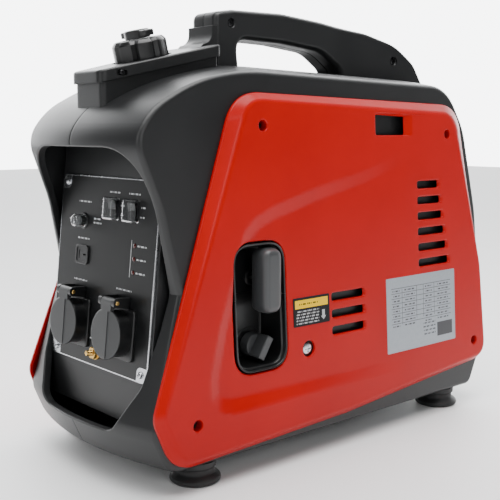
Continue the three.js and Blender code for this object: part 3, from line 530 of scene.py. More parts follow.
# %% The halves of the case
MOUTH_TOP, MOUTH_HALF, MOUTH_SILL, LIP = 315.0, 95.5, 54.0, 1.8
half_mouth = [(MOUTH_HALF - 1, MOUTH_TOP, 46), (MOUTH_HALF, 215, 60), (MOUTH_HALF - 1, 150, 10),
              (MOUTH_HALF - 7, 98, 22), (MOUTH_HALF - 33, MOUTH_SILL, 22)]
mouth = evened(rounded(half_mouth + [(-y, z, r) for y, z, r in reversed(half_mouth)], 10), 6)
POCKET = (-151.0, -86.0, 100.0, 223.5)  # left, right, low, high
LOUVRE_Y, LOUVRE_FOOT, LOUVRE_PITCH = 48.0, 84.0, 13.0
OUTLET = (46.0, 214.0)  # y and z of the exhaust's axis
REAR_CUT, MOUTH_CUT = (200, 300), (-320, -150)  # from where to where the tools reach


def bar_x(name, outline, start, end, place=None):
    return loft(name, [[(x, *p) for p in outline] for x in (start, end)], place)


def bar_y(name, outline, start, end):
    return loft(name, [[(p[0], y, p[1]) for p in outline] for y in (start, end)])


def pocket_outline(spare, radius=22.0):
    left, right, low, high = POCKET
    return block((left + right) / 2, (low + high) / 2, (right - left) / 2 + spare,
                 (high - low) / 2 + spare, radius + spare, 10)


def half_case(name, hand):
    rings = [slice_at(by, hand, lambda z, y=y: y)
             for by, y in ((SEAM_EDGE, SEAM), (0.2, SEAM + 0.2), (0, SEAM + SEAM_EDGE))]
    for part in np.linspace(0.05, 1, 15):
        rings.append(slice_at(0, hand, lambda z: part * (side_y(z) - CASE_EDGE)))
    for turn in np.linspace(0, pi / 2, 7)[1:]:
        rings.append(slice_at(CASE_EDGE * (1 - cos(turn)), hand,
                              lambda z: side_y(z) - CASE_EDGE * (1 - sin(turn))))
    return loft(name, rings)


def half_hollow(hand):
    rings = [slice_at(CASE_WALL, hand, lambda z, part=part: part * (side_y(z) - CASE_WALL))
             for part in (-0.05, 0.0, 0.2, 0.4, 0.6, 0.8, 1.0)]
    return loft("hollow", rings)


def louvres(hand):
    bars = [bar_x("louvre", block(hand * LOUVRE_Y, LOUVRE_FOOT + LOUVRE_PITCH * row, 31, 3, 2.6),
                  *REAR_CUT) for row in range(6)]
    return joined("louvres", *bars)


SIDES = ((-1, "starter"), (1, "service"))
for hand, side in SIDES:
    tools = [half_hollow(hand), bar_x("mouth", inset(mouth, -LIP), *MOUTH_CUT), louvres(hand)]
    if hand < 0:
        tools.append(bar_y("opening", pocket_outline(1.0), -200, -64))
    else:
        tools.append(bar_x("outlet", circle(*OUTLET, 14), *REAR_CUT))
    fit(carve(half_case(f"case_{side}_side_moulding", hand), *tools), ROOT, "charcoal_plastic",
        f"case_half_{side}_side")

# %% [markdown]
# The rolled lip runs round the mouth. Its section is a quarter round with a short flange turned
# into the case, swept along the mouth's outline on the curved front. The front's own formula
# says how far forward each point stands.

# %% The mouth's rolled lip
front_line = sorted((p.y, p.x) for p in case_outline if p.x < -195 and 40 < p.y < 345)


def front_x(y, z):
    """How far forward the case's front stands."""
    x = float(np.interp(z, [p[0] for p in front_line], [p[1] for p in front_line]))
    return swell(x, z, min(1.0, abs(y) / side_y(z)))[0]


def rolled_lip():
    section = [(LIP * (1 - sin(a)), LIP * (1 - cos(a))) for a in np.linspace(0, pi / 2, 6)]
    section += [(0, 8), (0.4, 8.6), (1.2, 8.6), (1.6, 8), (1.9, LIP + 0.6), (LIP + 0.3, 1)]
    rings = []
    for out, deep in section:
        ring = inset(mouth, -out)
        rings.append([(front_x(p.x, p.y) + deep, p.x, p.y) for p in ring])
    return loft("mouth_lip", rings, capped=False, sharp=50)


fit(rolled_lip(), ROOT, "charcoal_plastic")

# %% [markdown]
# # Side covers
# Each red cover is a shallow tray with a broad bevel all round. The starter side is sculpted: a
# crease sweeps up from behind the pocket and the face behind it drops away, deepest at the left
# and running out to nothing at the right. The face is a net of triangles, so that the relief
# can be pressed into it, and its holes have rounded rims, which catch the light as moulded
# rims do. Cutting them with booleans would leave hard rims.

# %% The covers' own shape
PROUD, COVER_WALL, RIM = 10.7, 3.0, 1.3
foot_outline = rounded([
    (NOSE + 2.5, 75, 22), (NOSE + 22, 24.5, 34), (0, 32.5, 60), (TAIL - 5.2, 53, 22),
    (TAIL - 12.5, 168, 60), (TAIL - 48.5, CASE_TOP - 27.9, 38), (-137.6, CASE_TOP - 19.9, 45)], 14)
face_outline = rounded([
    (NOSE + 10, 78, 18), (NOSE + 29, 32, 28), (0, 40, 60), (TAIL - 10.5, 60, 18),
    (TAIL - 18, 168, 60), (TAIL - 62.5, CASE_TOP - 39, 30), (-126, CASE_TOP - 28, 27)], 14)
crease = [Vector(p) for p in (
    (98, 304), (62, 297), (27, 287), (-45, 272), (-100, 257.5), (-124, 248), (-139, 235),
    (-149, 208), (-173, 149), (-186, 103), (-186, 84), (-177, 72), (-160, 66.5), (-31, 66.6),
    (70, 65), (108, 66))]
SCOOP, FACET = 4.6, 13.0
SCOOP_FRONT, SCOOP_BACK = -187.0, 100.0


def off_crease(x, z):
    """Distance to the crease, and which way its nearest point lies."""
    here = Vector((x, z))
    best = (1e9, here)
    for start, end in zip(crease, crease[1:]):
        along = end - start
        part = min(max((here - start).dot(along) / along.length_squared, 0), 1)
        foot = start + along * part
        best = min(best, ((here - foot).length, foot), key=lambda pair: pair[0])
    return best


def scoop(x, z):
    """How deep the starter side's face is pressed in."""
    loop = np.array([tuple(p) for p in crease])
    if not within(np.array([[x, z]]), [loop])[0]:
        return 0.0
    away = off_crease(x, z)[0]
    fade = min(max((SCOOP_BACK - x) / (SCOOP_BACK - SCOOP_FRONT), 0.0), 1.0)
    return SCOOP * fade * min(away / FACET, 1.0)


print("the scoop is", round(scoop(-150, 150), 2), "mm deep by the pocket")

# %% [markdown]
# A cover is made in this order: the foot ring, the upright rim, the bevel, the face with its
# holes, the walls of the holes, and then the same again on the inside, so that it stays a shell
# of even thickness. Only the outer face needs the fine net.

# %% One cover
def from_side(point):
    return point.x, point.z


def cover_shell(name, hand, holes, relief, spacing, folds=()):
    def at_depth(deep):
        return lambda x, z: (x, hand * (side_y(z) + PROUD - deep - relief(x, z)), z)

    mesh = bmesh.new()
    skin = [(0, 0.0), (0, 2.0), (0.02, 2.8), (0.08, 3.5)]
    for t in np.linspace(0, 1, 9):
        skin.append((0.72 * (1 - t) ** 2 + 2 * t * (1 - t) * 0.96 + 1.3 * t * t,
                     8.6 * (1 - t) ** 2 + (PROUD - SEAT) * (1 - (1 - t) ** 2)))
    rows = []
    for part, proud in skin:
        ring = [a.lerp(b, part) for a, b in zip(foot_outline, face_outline)]
        rows.append([mesh.verts.new((p.x, hand * (side_y(p.y) + SEAT + proud), p.y)) for p in ring])
    inner = [inset(foot_outline, COVER_WALL), inset(foot_outline, COVER_WALL + 0.4),
             inset([a.lerp(b, 1.3) for a, b in zip(foot_outline, face_outline)], COVER_WALL)]
    backs = []
    for ring, proud in zip(inner, (SEAT, SEAT + 1.5, PROUD - COVER_WALL)):
        backs.append([mesh.verts.new((p.x, hand * (side_y(p.y) + proud), p.y)) for p in ring])
    bridge(mesh, *backs[::-1], *rows)
    rims, floors = [], []
    for outline, shelf in holes:
        steps = [(RIM * (1 - sin(a)), RIM * (1 - cos(a))) for a in np.linspace(0, pi / 2, 5)]
        stack = []
        for out, deep in steps + [(0, COVER_WALL)]:
            slope = shelf * deep / COVER_WALL / shelf_length(outline)
            start = shelf_from(outline)
            ring = [(p.x - slope * max(0, p.x - start), p.y) for p in inset(outline, -out)]
            raised = at_depth(deep)
            stack.append([mesh.verts.new(raised(*p)) for p in ring])
        bridge(mesh, *stack)
        rims.append(stack[0])
        floors.append(stack[-1])
    fill(mesh, [rows[-1], *rims], from_side, at_depth(0), spacing, folds)
    fill(mesh, [backs[-1], *floors], from_side, at_depth(COVER_WALL), 9)
    return made(name, mesh, sharp=40)


def shelf_from(outline):
    return min(p.x for p in outline)


def shelf_length(outline):
    return max(p.x for p in outline) - shelf_from(outline)


# %% [markdown]
# The holes are written down once, as outlines with a shelf: how far the hole's far end slopes
# in between the face and the back. Only the window has a real shelf.

# %% Where the covers are pierced
COVER_SCREW, SLOT_HALF, SLOT_PITCH = 5.2, 4.3, 17.55
screw_spots = [(-109.5, CASE_TOP - 52), (TAIL - 77.3, CASE_TOP - 61.5), (TAIL - 32.5, 78.2),
               (NOSE + 46.1, 64.1)]


def cad_box(node):
    """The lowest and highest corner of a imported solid, and its middle seen from the side."""
    low, high = (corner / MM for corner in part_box(node))
    return low, high, ((low.x + high.x) / 2, (low.z + high.z) / 2)


LOCK = cad_box("cover_lock_screw")[2]


def slot(start, end, z, end_shelf=2.0):
    return block((start + end) / 2, z, (end - start) / 2, SLOT_HALF, 3.2, 5), end_shelf


screw_holes = [(circle(*spot, COVER_SCREW, 32), 0) for spot in screw_spots]
starter_holes = [
    *screw_holes, (circle(*LOCK, 8.2, 40), 0), (evened(pocket_outline(1.6), 6), 0),
    (evened(block(81, CASE_TOP - 50.5, 30, 11.5, 3.4), 4), 11),
    *[slot(-22, 29, 159.6 - SLOT_PITCH * row) for row in range(3)],
    *[slot(118.5, 159.2 + 3.3 * row, 269 - SLOT_PITCH * row) for row in range(6)]]
service_holes = [*screw_holes]
for row in range(7):
    rise = SLOT_PITCH * row
    service_holes += [slot(-150 + 6 * row, -70 + 2 * row, 130 + rise),
                      slot(112, 196 - 4 * row, 110 + rise)]
print("holes:", len(starter_holes), "on the starter side,", len(service_holes), "on the other")

# %% [markdown]
# The net has to pass through the crease and through the line where its facet ends, or the fold
# would look chewed. Both lines are handed over as extra points.

# %% Both covers
def walked(points, spacing):
    line = []
    for start, end in zip(points, points[1:]):
        parts = max(1, round((end - start).length / spacing))
        line += [start.lerp(end, i / parts) for i in range(parts)]
    return line + [points[-1]]


def beside(points, distance):
    moved = []
    for i, point in enumerate(points):
        along = (points[min(i + 1, len(points) - 1)] - points[max(i - 1, 0)]).normalized()
        moved.append(point + Vector((-along.y, along.x)) * distance)
    return moved


NET = 3.2
fold_lines = walked(crease, NET) + beside(walked(crease, NET), FACET)
fit(cover_shell("starter_side_red_cover", -1, starter_holes, scoop, NET,
                [tuple(p) for p in fold_lines]), ROOT, "red_cover_plastic", "starter_side_cover")
fit(cover_shell("service_side_red_cover", 1, service_holes, lambda x, z: 0.0, 12),
    ROOT, "red_cover_plastic", "service_side_cover")

# %% [markdown]
# Behind each screw hole stands a red boss with a blackened screw at its bottom, and the lock
# is a plated cross head in a dark cup, set in the pressed-in face.

# %% Cover screws and the lock
def turn_to_y(x, y, z, hand=-1):
    """Places a piece drawn along +Z so that it points out of a side."""
    return Matrix.Translation((x, y, z)) @ Matrix.Rotation(pi / 2 if hand < 0 else -pi / 2, 4, "X")


def crossed(head, place, size, deep):
    """Cuts a cross-head recess into a screw head."""
    bars = []
    for turn in (0, pi / 2):
        arm = levels("arm", block(0, 0, size, size * 0.22, 0.1, 2), [(0, -deep), (0, 5)])
        arm.data.transform(Matrix.Scale(1 / MM, 4))
        arm.data.transform(Matrix.Rotation(turn, 4, "Z"))
        arm.data.transform(place)
        arm.data.transform(Matrix.Scale(MM, 4))
        bars.append(arm)
    return carve(head, *bars)


def screw_head(name, place, radius, high):
    top = [(0, -2), (radius, -2), (radius, high * 0.35), (radius * 0.82, high * 0.8),
           (radius * 0.45, high), (0, high)]
    head = turned(name, top, place, 32)
    return crossed(head, place @ Matrix.Translation((0, 0, high)), radius * 0.55, high * 0.7)


BOSS_FOOT, BOSS_FLOOR, BOSS_TOP, BOSS_WALL = -9.9, -9.0, -2.9, 1.2
boss = [(0, BOSS_FOOT), (COVER_SCREW + BOSS_WALL, BOSS_FOOT), (COVER_SCREW + BOSS_WALL, BOSS_TOP),
        (COVER_SCREW, BOSS_TOP), (COVER_SCREW, BOSS_FLOOR), (0, BOSS_FLOOR)]
for hand, side in SIDES:
    for count, (x, z) in enumerate(screw_spots, 1):
        place = turn_to_y(x, hand * (side_y(z) + PROUD), z, hand)
        fit(turned(f"{side}_cover_boss_{count}", boss, place, 32), ROOT, "red_cover_plastic")
        seat = place @ Matrix.Translation((0, 0, BOSS_FLOOR + 0.2))
        fit(screw_head(f"{side}_cover_screw_{count}", seat, 4.3, 2.4), ROOT, "steel",
            finish=DARK_STEEL)


def lock_screw():
    x, z = LOCK
    place = turn_to_y(x, -(side_y(z) + PROUD - scoop(x, z) - 2.2), z)
    cup = [(0, -6), (8.1, -6), (8.1, -0.4), (7.6, -0.4), (7.6, -4), (0, -4)]
    fit(turned("cover_lock_cup", cup, place, 40), ROOT, "satin_black_plastic")
    head = turned("cover_lock_head", [(0, -5), (6.4, -5), (6.4, -1.2), (6.0, -0.3), (4.6, 0.4),
                                      (0, 0.7)], place, 40)
    return crossed(head, place @ Matrix.Translation((0, 0, 0.7)), 4.0, 1.6)


fit(lock_screw(), ROOT, "steel", "cover_lock_screw")

# %% [markdown]
# # Labels
# The rating plate is brushed foil with a printed table: thin rules and short grey bars in place
# of words. The caution label is black with a yellow band. Both are drawn with sums on the
# surface's own coordinates, and each lies on the cover's leaning face.

# %% Printed foils
def stripe(wire, middle, half):
    """1 within a half width of the middle, in millimetres, else 0."""
    off = wire.sum("ABSOLUTE", wire - middle * MM)
    return off.sum("LESS_THAN", off, half * MM)


def between(wire, low, high):
    return stripe(wire, (low + high) / 2, (high - low) / 2)


def dashes(recipe, along, across, start, end, row, seed):
    """A line of short bars, broken like words."""
    broken = (along * 900.0 + seed).wave() + (along * 2300.0 + seed * 2.0).wave()
    return between(along, start, end) * stripe(across, row, 0.75) * broken.over(-0.35)


def foil_recipe(low_x, high_x, low_z, high_z):
    recipe = Recipe("rating_plate_foil")
    x, _, z = recipe.axes()
    ink = stripe(x, low_x + 26, 0.3) * between(z, low_z + 30, high_z - 12)
    for share in (0.42, 0.52, 0.68):
        ink = ink + stripe(x, lerp(low_x, high_x, share), 0.3) * between(z, low_z + 34, high_z - 12)
    inside = between(x, low_x + 8, high_x - 8)
    for row in range(8):
        level = high_z - 12 - 5.6 * row
        ink = ink + stripe(z, level, 0.28) * inside
        for start, end in ((10, 22), (30, 48), (66, 78), (88, 108)):
            ink = ink + dashes(recipe, x, z, low_x + start, low_x + end, level - 2.9, row * 1.7)
    for row in range(4):
        ink = ink + dashes(recipe, x, z, low_x + 62, low_x + 84, low_z + 26 - 4.2 * row, row * 2.3)
    badge = between(x, high_x - 34, high_x - 6) * between(z, low_z + 8, low_z + 24)
    ink = (ink + badge).sum("MINIMUM", ink + badge, 1.0)
    brushed = recipe.noise(260.0, 2.0)
    base = recipe.blend(brushed, tint(0.29, 0.315, 0.345), tint(0.35, 0.375, 0.405))
    return recipe.surface({
        "Base Color": recipe.blend(ink, base, tint(0.05, 0.05, 0.055)),
        "Roughness": brushed * 0.1 + 0.34, "Metallic": 0.35})


def caution_recipe(low_x, high_x, low_z, high_z):
    recipe = Recipe("caution_foil")
    x, _, z = recipe.axes()
    band = between(x, low_x + 2.5, high_x - 2.5) * between(z, high_z - 11, high_z - 2.5)
    grey = stripe(x, high_x - 9, 1.9) * between(z, low_z + 6.5, low_z + 13.5)
    for row in range(5):
        level = high_z - 14 - 3.0 * row
        grey = grey + dashes(recipe, x, z, low_x + 4, high_x - 15, level, row * 1.3)
    head = (x - (high_x - 9) * MM)
    head = head.sum("ABSOLUTE", head) + (z * -1.0 + (low_z + 3.2) * MM) * 0.9
    grey = grey + head.sum("LESS_THAN", head, 0.0) * between(z, low_z + 3.2, low_z + 7.2)
    fine = recipe.noise(600.0, 2.0)
    black = recipe.blend(fine, tint(0.010, 0.010, 0.011), tint(0.016, 0.016, 0.017))
    words = recipe.blend(grey.sum("MINIMUM", grey, 1.0), black, tint(0.42, 0.42, 0.43))
    marks = dashes(recipe, x, z, low_x + 8, high_x - 16, high_z - 6.8, 0.4)
    yellow = recipe.blend(marks, tint(0.80, 0.50, 0.004), tint(0.06, 0.045, 0.01))
    return recipe.surface({
        "Base Color": recipe.blend(band, words, yellow), "Roughness": fine * 0.08 + 0.42,
        "Specular IOR Level": 0.12})


def label(name, node, slot_name, recipe):
    low, high, middle = cad_box(node)
    outline = evened(block(*middle, (high.x - low.x) / 2, (high.z - low.z) / 2, 1.5), 5)
    rings = []
    for by, proud in ((0, 0.02), (0, 0.3), (0.15, 0.45)):
        rings.append([(p.x, -(side_y(p.y) + PROUD - scoop(p.x, p.y) + proud), p.y)
                      for p in inset(outline, by)])
    finish = recipe(low.x, high.x, low.z, high.z)
    return fit(loft(name, rings), ROOT, slot_name, node, finish=finish)


label("rating_foil", "rating_plate", "rating_plate", foil_recipe)
label("caution_foil", "caution_label", "caution_label", caution_recipe)

# %% [markdown]
# # Starter pocket
# A black tub in two halves, split level with the grip's foot. Its rim is rolled and follows the
# pressed-in face. Inside, the rope comes out of an eyelet behind the grip, and the choke knob
# sits low down. The grip is a thick paddle with a bevelled face that fingers close round.

# %% Pocket tub
POCKET_FLOOR, SPLIT = -84.0, 171.5
tub_profile = [(0.0, -9.0), (0.0, 0.2), (0.3, 0.9), (0.9, 1.3), (1.6, 1.2), (2.1, 0.8), (2.5, -0.4),
               (2.9, -2.6), (3.4, -3.4), (4.2, -3.9), (4.7, -5.2)]


def tub_ring(by, proud=None, y=None):
    ring = inset(evened(pocket_outline(0.0, 21.0), 5), by)
    if y is not None:
        return [(p.x, y, p.y) for p in ring]
    return [(p.x, -(side_y(p.y) + PROUD - scoop_near(p.x, p.y) + proud), p.y) for p in ring]


def scoop_near(x, z):
    """The face's depth beside the pocket, where the crease does not disturb it."""
    return SCOOP * (SCOOP_BACK - x) / (SCOOP_BACK - SCOOP_FRONT)


def tub_half(name, low, high):
    rings = [tub_ring(0, y=POCKET_FLOOR)] + [tub_ring(by, proud) for by, proud in tub_profile]
    rings += [tub_ring(4.9, y=POCKET_FLOOR - 8), tub_ring(6.5, y=POCKET_FLOOR - 3.4),
              tub_ring(9.5, y=POCKET_FLOOR - 2.4)]
    tub = loft(name, rings)
    keep = bar_y("keep", block(-118, (low + high) / 2, 60, (high - low) / 2, 0), -200, 0)
    return carve(tub, keep, how="INTERSECT")


upper = tub_half("pocket_tub_upper", SPLIT + 0.2, 260)
lower = tub_half("pocket_tub_lower", 60, SPLIT - 0.2)
fit(upper, ROOT, "satin_black_plastic", "starter_pocket_upper")
fit(lower, ROOT, "satin_black_plastic", "starter_pocket_lower")

# %% Grip, eyelet and choke knob
grip_low, grip_high, GRIP = cad_box("starter_grip")


def starter_grip():
    outline = evened(block(0, 0, 12, 32, 11, 10), 3)
    depth = grip_high.y - grip_low.y
    steps = [(6.5, 0), (4.2, 0.5), (2.0, 2.5), (0.9, 5), (0.2, 8.5), (0, depth * 0.55),
             (0.3, depth - 6), (1.3, depth - 3.4), (2.6, depth - 1.6), (3.9, depth - 0.9),
             (4.3, depth - 0.9), (5.0, depth - 0.5), (6.0, depth - 0.1), (7.6, depth)]
    place = Matrix.Translation((GRIP[0], grip_high.y, GRIP[1])) @ Matrix.Rotation(pi / 2, 4, "X")
    return levels("starter_pull_grip", outline, steps, place)


fit(starter_grip(), "starter_grip_body", "grey_plastic", "starter_grip")
eyelet = [(0, 0), (8, 0), (8, 1.6), (7, 2.8), (5, 3.2), (3.6, 2.4), (3.4, 0.6), (0, 0.6)]
fit(turned("rope_eyelet", eyelet, turn_to_y(GRIP[0], POCKET_FLOOR - 2.3, GRIP[1]), 40),
    ROOT, "satin_black_plastic")

knob_low, _, KNOB = cad_box("choke_knob")
KNOB_LEAN, KNOB_FOOT = radians(-32), 88.0


def choke_knob():
    place = turn_to_y(KNOB[0], -KNOB_FOOT, KNOB[1])
    base = turned("choke_lever_knob", [(0, 0), (12.4, 0), (12.4, 8), (11.6, 9.6), (9.5, 10.4),
                                       (0, 10.4)], place, 48)
    paddle = levels("paddle", block(0, 0, 4.2, 12.3, 1.6),
                    [(0, 4)] + lip(1.2, -knob_low.y - KNOB_FOOT),
                    place @ Matrix.Rotation(KNOB_LEAN, 4, "Z"))
    dial = turned("choke_dial", [(0, -2), (17.5, -2), (17.5, -0.4), (16.8, 0.2), (0, 0.2)],
                  turn_to_y(KNOB[0], -86.6, KNOB[1]), 48)
    fit(dial, ROOT, "satin_black_plastic")
    return joined("choke_lever_knob", base, paddle)


fit(choke_knob(), "choke_knob_body", "grey_plastic", "choke_knob")

# %% [markdown]
# # Top cover
# A wedge-shaped deck slopes down to the front and carries the fuel cap. It stands on a slightly
# smaller pedestal, so a dark line runs round under it, and ends in a short tower that meets the
# nose of the handle. The handle's nose hides the step between the two.

# %% Deck, pedestal and tower
DECK_FRONT, DECK_FRONT_TOP, DECK_SLOPE, DECK_THICK = -236.0, CASE_TOP - 1.5, 0.2308, 11.7
CAP_X, GRIP_HALF, HANDLE_NOSE, NOSE_TOP = -171.6, 20.6, -95.0, CASE_TOP + 49.5
CAP_PLACE = (Matrix.Translation((CAP_X, 0, DECK_FRONT_TOP + DECK_SLOPE * (CAP_X - DECK_FRONT)))
             @ Matrix.Rotation(-atan(DECK_SLOPE), 4, "Y"))
TOWER_BACK, TOWER_FRONT, FLARE = -92.0, -99.0, 13.0
half_deck = [(DECK_FRONT, 26.5, 9), (-106, 43.6, 7), (-101, GRIP_HALF, 0),
             (TOWER_BACK, GRIP_HALF, 0)]
deck_plan = evened(rounded([(x, -y, r) for x, y, r in half_deck] + half_deck[::-1]), 4)


def deck_z(x):
    return DECK_FRONT_TOP + DECK_SLOPE * (x - DECK_FRONT)


def deck_ring(by, under):
    return [(p.x, p.y, deck_z(p.x) - under) for p in inset(deck_plan, by)]


def top_cover():
    steps = [(0.6, DECK_THICK), (0, DECK_THICK - 0.7)]
    steps += [(by, 2.4 - high) for by, high in lip(2.4, 2.4, 5)] + [(4.2, -0.15)]
    deck = loft("top_cover_skin", [deck_ring(by, under) for by, under in steps], sharp=30)
    pedestal = loft("pedestal", [deck_ring(3, under) for under in (44, DECK_THICK - 1)])
    foot, root = deck_z(-117) - 2, deck_z(TOWER_FRONT)
    flare = [(-117, foot), (TOWER_BACK, foot), (TOWER_BACK, NOSE_TOP - 0.2),
             (TOWER_FRONT + 1, NOSE_TOP - 0.2), (TOWER_FRONT + 0.2, NOSE_TOP - 0.7),
             (TOWER_FRONT, NOSE_TOP - 1.6)]
    flare += [(TOWER_FRONT - FLARE * (1 - cos(a)), root + (FLARE - 1) * (1 - sin(a)))
              for a in np.linspace(0, 1.45, 9)]
    sides = [(GRIP_HALF, 1.2), (GRIP_HALF - 0.35, 0.35), (GRIP_HALF - 1.2, 0)]
    sides = [(-y, by) for y, by in sides] + [(y, by) for y, by in sides[::-1]]
    profile = [Vector(corner) for corner in flare]
    tower = loft("tower", [[(p.x, y, p.y) for p in inset(profile, by)] for y, by in sides])
    for part in (deck, pedestal, tower):
        ring = turned("recess", [(0, -3), (29.2, -3), (30, -2.2), (30, 1.2), (31.2, 2.4), (31.2, 9),
                                 (0, 9)], CAP_PLACE, 64)
        neck = rod(16.2, -99, 9, CAP_PLACE)
        screw = bar_y("screw_recess", block(DECK_FRONT + 22, DECK_FRONT_TOP - 1.5, 5.6, 2.7, 2.6),
                      -60, -26.5)
        carve(part, half_case_block(), ring, neck, screw)
    return joined("top_cover_skin", deck, pedestal, tower)


def half_case_block():
    """The case's crown with a hair of air, cut away from what stands on it."""
    plan = evened(case_outline, 6)
    rings = []
    for y in (-70, -45, -22, 0, 22, 45, 70):
        rings.append([(p.x * 0.999, y, p.y + (0.25 if p.y > 200 else -0.2)) for p in plan])
    return loft("case_block", rings)


fit(top_cover(), ROOT, "charcoal_plastic", "top_cover")
deck_screw = turn_to_y(DECK_FRONT + 22, -29.5, DECK_FRONT_TOP - 1.5)
fit(screw_head("top_cover_screw", deck_screw, 2.4, 1.0), ROOT, "steel", finish=DARK_STEEL)

# %% [markdown]
# # Fuel cap
# Eight broad grips with narrow grooves between them, a chamfered crown, and on top the small
# vent knob with its wing bar. Cap and knob turn on their own bodies.

# %% Cap and vent knob
def fluted(radius, lobes, deep, parts=12):
    ring = []
    for i in range(lobes * parts):
        angle = 2 * pi * i / (lobes * parts)
        swing = abs((i % parts) / parts - 0.5) * 2
        reach = radius - deep * ease(swing, 0.62, 1.0)
        ring.append(Vector((reach * cos(angle), reach * sin(angle))))
    return ring


cap_steps = [(1.2, -2.3), (0.3, -1.6), (0, -0.6), (0, 14.6), (0.5, 15.8), (2.6, 18.3), (3.6, 19.1),
             (5.2, 19.35), (8.2, 19.35), (8.6, 19.1), (10, 19.0)]
cap = levels("fuel_cap_skin", fluted(26.9, 8, 3.2), cap_steps, CAP_PLACE, 30)
fit(carve(cap, rod(15.3, -5, 3.2, CAP_PLACE, 40)), "fuel_cap_body", "satin_black_plastic",
    "fuel_cap")


def vent_knob():
    base = 19.6
    disc = turned("vent_knob_skin", [
        (0, base), (12, base), (12.6, base + 0.6), (12.6, base + 6.6), (12.2, base + 7.7),
        (11.2, base + 8.4), (9.4, base + 8.4), (8.6, base + 7.6), (8.2, base + 6.6),
        (0, base + 6.4)], CAP_PLACE, 56)
    wings = [levels("wing", block(0, hand * 15.2, 6, 6.3, 3.2, 8),
                    [(0.8, base + 1.4), (0, base + 2)] + lip(1.6, base + 7.4), CAP_PLACE)
             for hand in (-1, 1)]
    pip = turned("pip", [(0, base + 5), (3.2, base + 5), (3.2, base + 7.4), (2.7, base + 7.9),
                         (0, base + 7.9)], CAP_PLACE, 32)
    return joined("vent_knob_skin", disc, pip, *wings)


fit(vent_knob(), "vent_knob_body", "satin_black_plastic", "cap_vent_knob")

# %% [markdown]
# # Carrying handle
# Two halves meet on the centre line with a fine groove. The grip keeps its width and the rear
# root spreads out like a foot. Lofting across the width, with the outline moved inwards at
# each outer step, rolls the long edges the way the mould does.

# %% Handle halves
handle_corners = [
    (-95, 449.8, 9), (-70, 453.8, 24), (0, 455.3, 90), (60, 450.8, 90), (126, 442.3, 90),
    (166, 429.8, 60), (194, 408.8, 34), (209, 386, 7), (209, 364, 7), (97, 370, 7), (91, 398, 18),
    (60, 417.5, 50), (0, 423.2, 60), (-66, 424.5, 14), (-59.4, 370, 7), (-95, 370, 7)]
handle_outline = evened(rounded(handle_corners[::-1], 10), 4)
ROLL = 5.2


def handle_half_width(x):
    return lerp(GRIP_HALF, 46.0, ease(x, 80, 209))


def handle_half(name, hand):
    rings = [[(p.x, hand * (0.15 + far), p.y) for p in inset(handle_outline, by)]
             for by, far in ((0.7, 0.0), (0.25, 0.35), (0, 0.8))]
    for turn in np.linspace(0, pi / 2, 9):
        by, back = ROLL * (1 - cos(turn)), 1.3 * ROLL * (1 - sin(turn))
        rings.append([(p.x, hand * (handle_half_width(p.x) - back), p.y)
                      for p in inset(handle_outline, by)])
    mesh = bmesh.new()
    rows = [[mesh.verts.new(p) for p in ring] for ring in rings]
    bridge(mesh, *rows)
    fill(mesh, [rows[0]], from_side, lambda x, z: (x, hand * 0.15, z), 12)
    fill(mesh, [rows[-1]], from_side, lambda x, z: (x, hand * handle_half_width(x), z), 8)
    body = made(name, mesh, sharp=34)
    back = HANDLE_NOSE + 3.2
    under_nose = rounded([(-140, 300, 0), (back, 300, 0), (back, NOSE_TOP, 0), (-140, NOSE_TOP, 0)])
    tools = [half_case_block(), bar_y("under_nose", under_nose, -60, 60)]
    if hand < 0:
        for x, z in HANDLE_SCREWS:
            place = turn_to_y(x, -(handle_half_width(x) - 3.2), z)
            tools.append(turned("hole", [(0, 0), (4.4, 0), (4.4, 1.8), (5.2, 2.9), (5.2, 9),
                                         (0, 9)], place, 40))
    return carve(body, *tools)


HANDLE_SCREWS = [(-74, 439.5), (162, 411)]
for hand, side in SIDES:
    fit(handle_half(f"handle_{side}_skin", hand), ROOT, "charcoal_plastic",
        f"handle_half_{side}_side")
for count, (x, z) in enumerate(HANDLE_SCREWS, 1):
    place = turn_to_y(x, -(handle_half_width(x) - 3.3), z)
    fit(screw_head(f"handle_screw_{count}", place, 3.9, 1.9), ROOT, "steel", finish=DARK_STEEL)

# %% [markdown]
# # Control panel
# Everything on the panel is drawn flat, in the panel's own frame: across, up and out. A plated
# steel sheet carries a black print that stops short of the corners, where the bright tabs with
# the screws show.

# %% Panel frame and sheet
LEAN_BACK, PANEL_X, PANEL_FOOT = radians(6.254), -232.3, 99.1
PANEL = Matrix.Translation((PANEL_X, 0, PANEL_FOOT)) @ Matrix((
    (0, sin(LEAN_BACK), -cos(LEAN_BACK), 0), (-1, 0, 0, 0),
    (0, cos(LEAN_BACK), sin(LEAN_BACK), 0), (0, 0, 0, 1)))
SOCKETS, SOCKET_UP = {"left": -39.8, "right": 39.8}, 40.7
SWITCHES, SWITCH_UP = {"economy": 12.6, "engine": 46.5}, 157.1
BREAKER, DC, EARTH, LAMP_X = (-40.7, 141.6), (-38.8, 107.6), (0, 14.5), 52.8
PANEL_HALF, PANEL_MIDDLE, PANEL_CORNER, PRINT_MARGIN = 87.5, 93.8, 9.0, 1.6
LAMPS = {"output_lamp": 125.1, "overload_lamp": 112.5, "oil_level_lamp": 99.9}
PANEL_SCREWS = {3: (77.1, 7.8), 4: (77.1, 179.8), 1: (-77.1, 7.8), 2: (-77.1, 179.8)}
THROUGH = (-9, 9)  # low and high end of a tool that goes through the sheet


def on_panel(x, up, out=0.0):
    return PANEL @ Matrix.Translation((x, up, out))


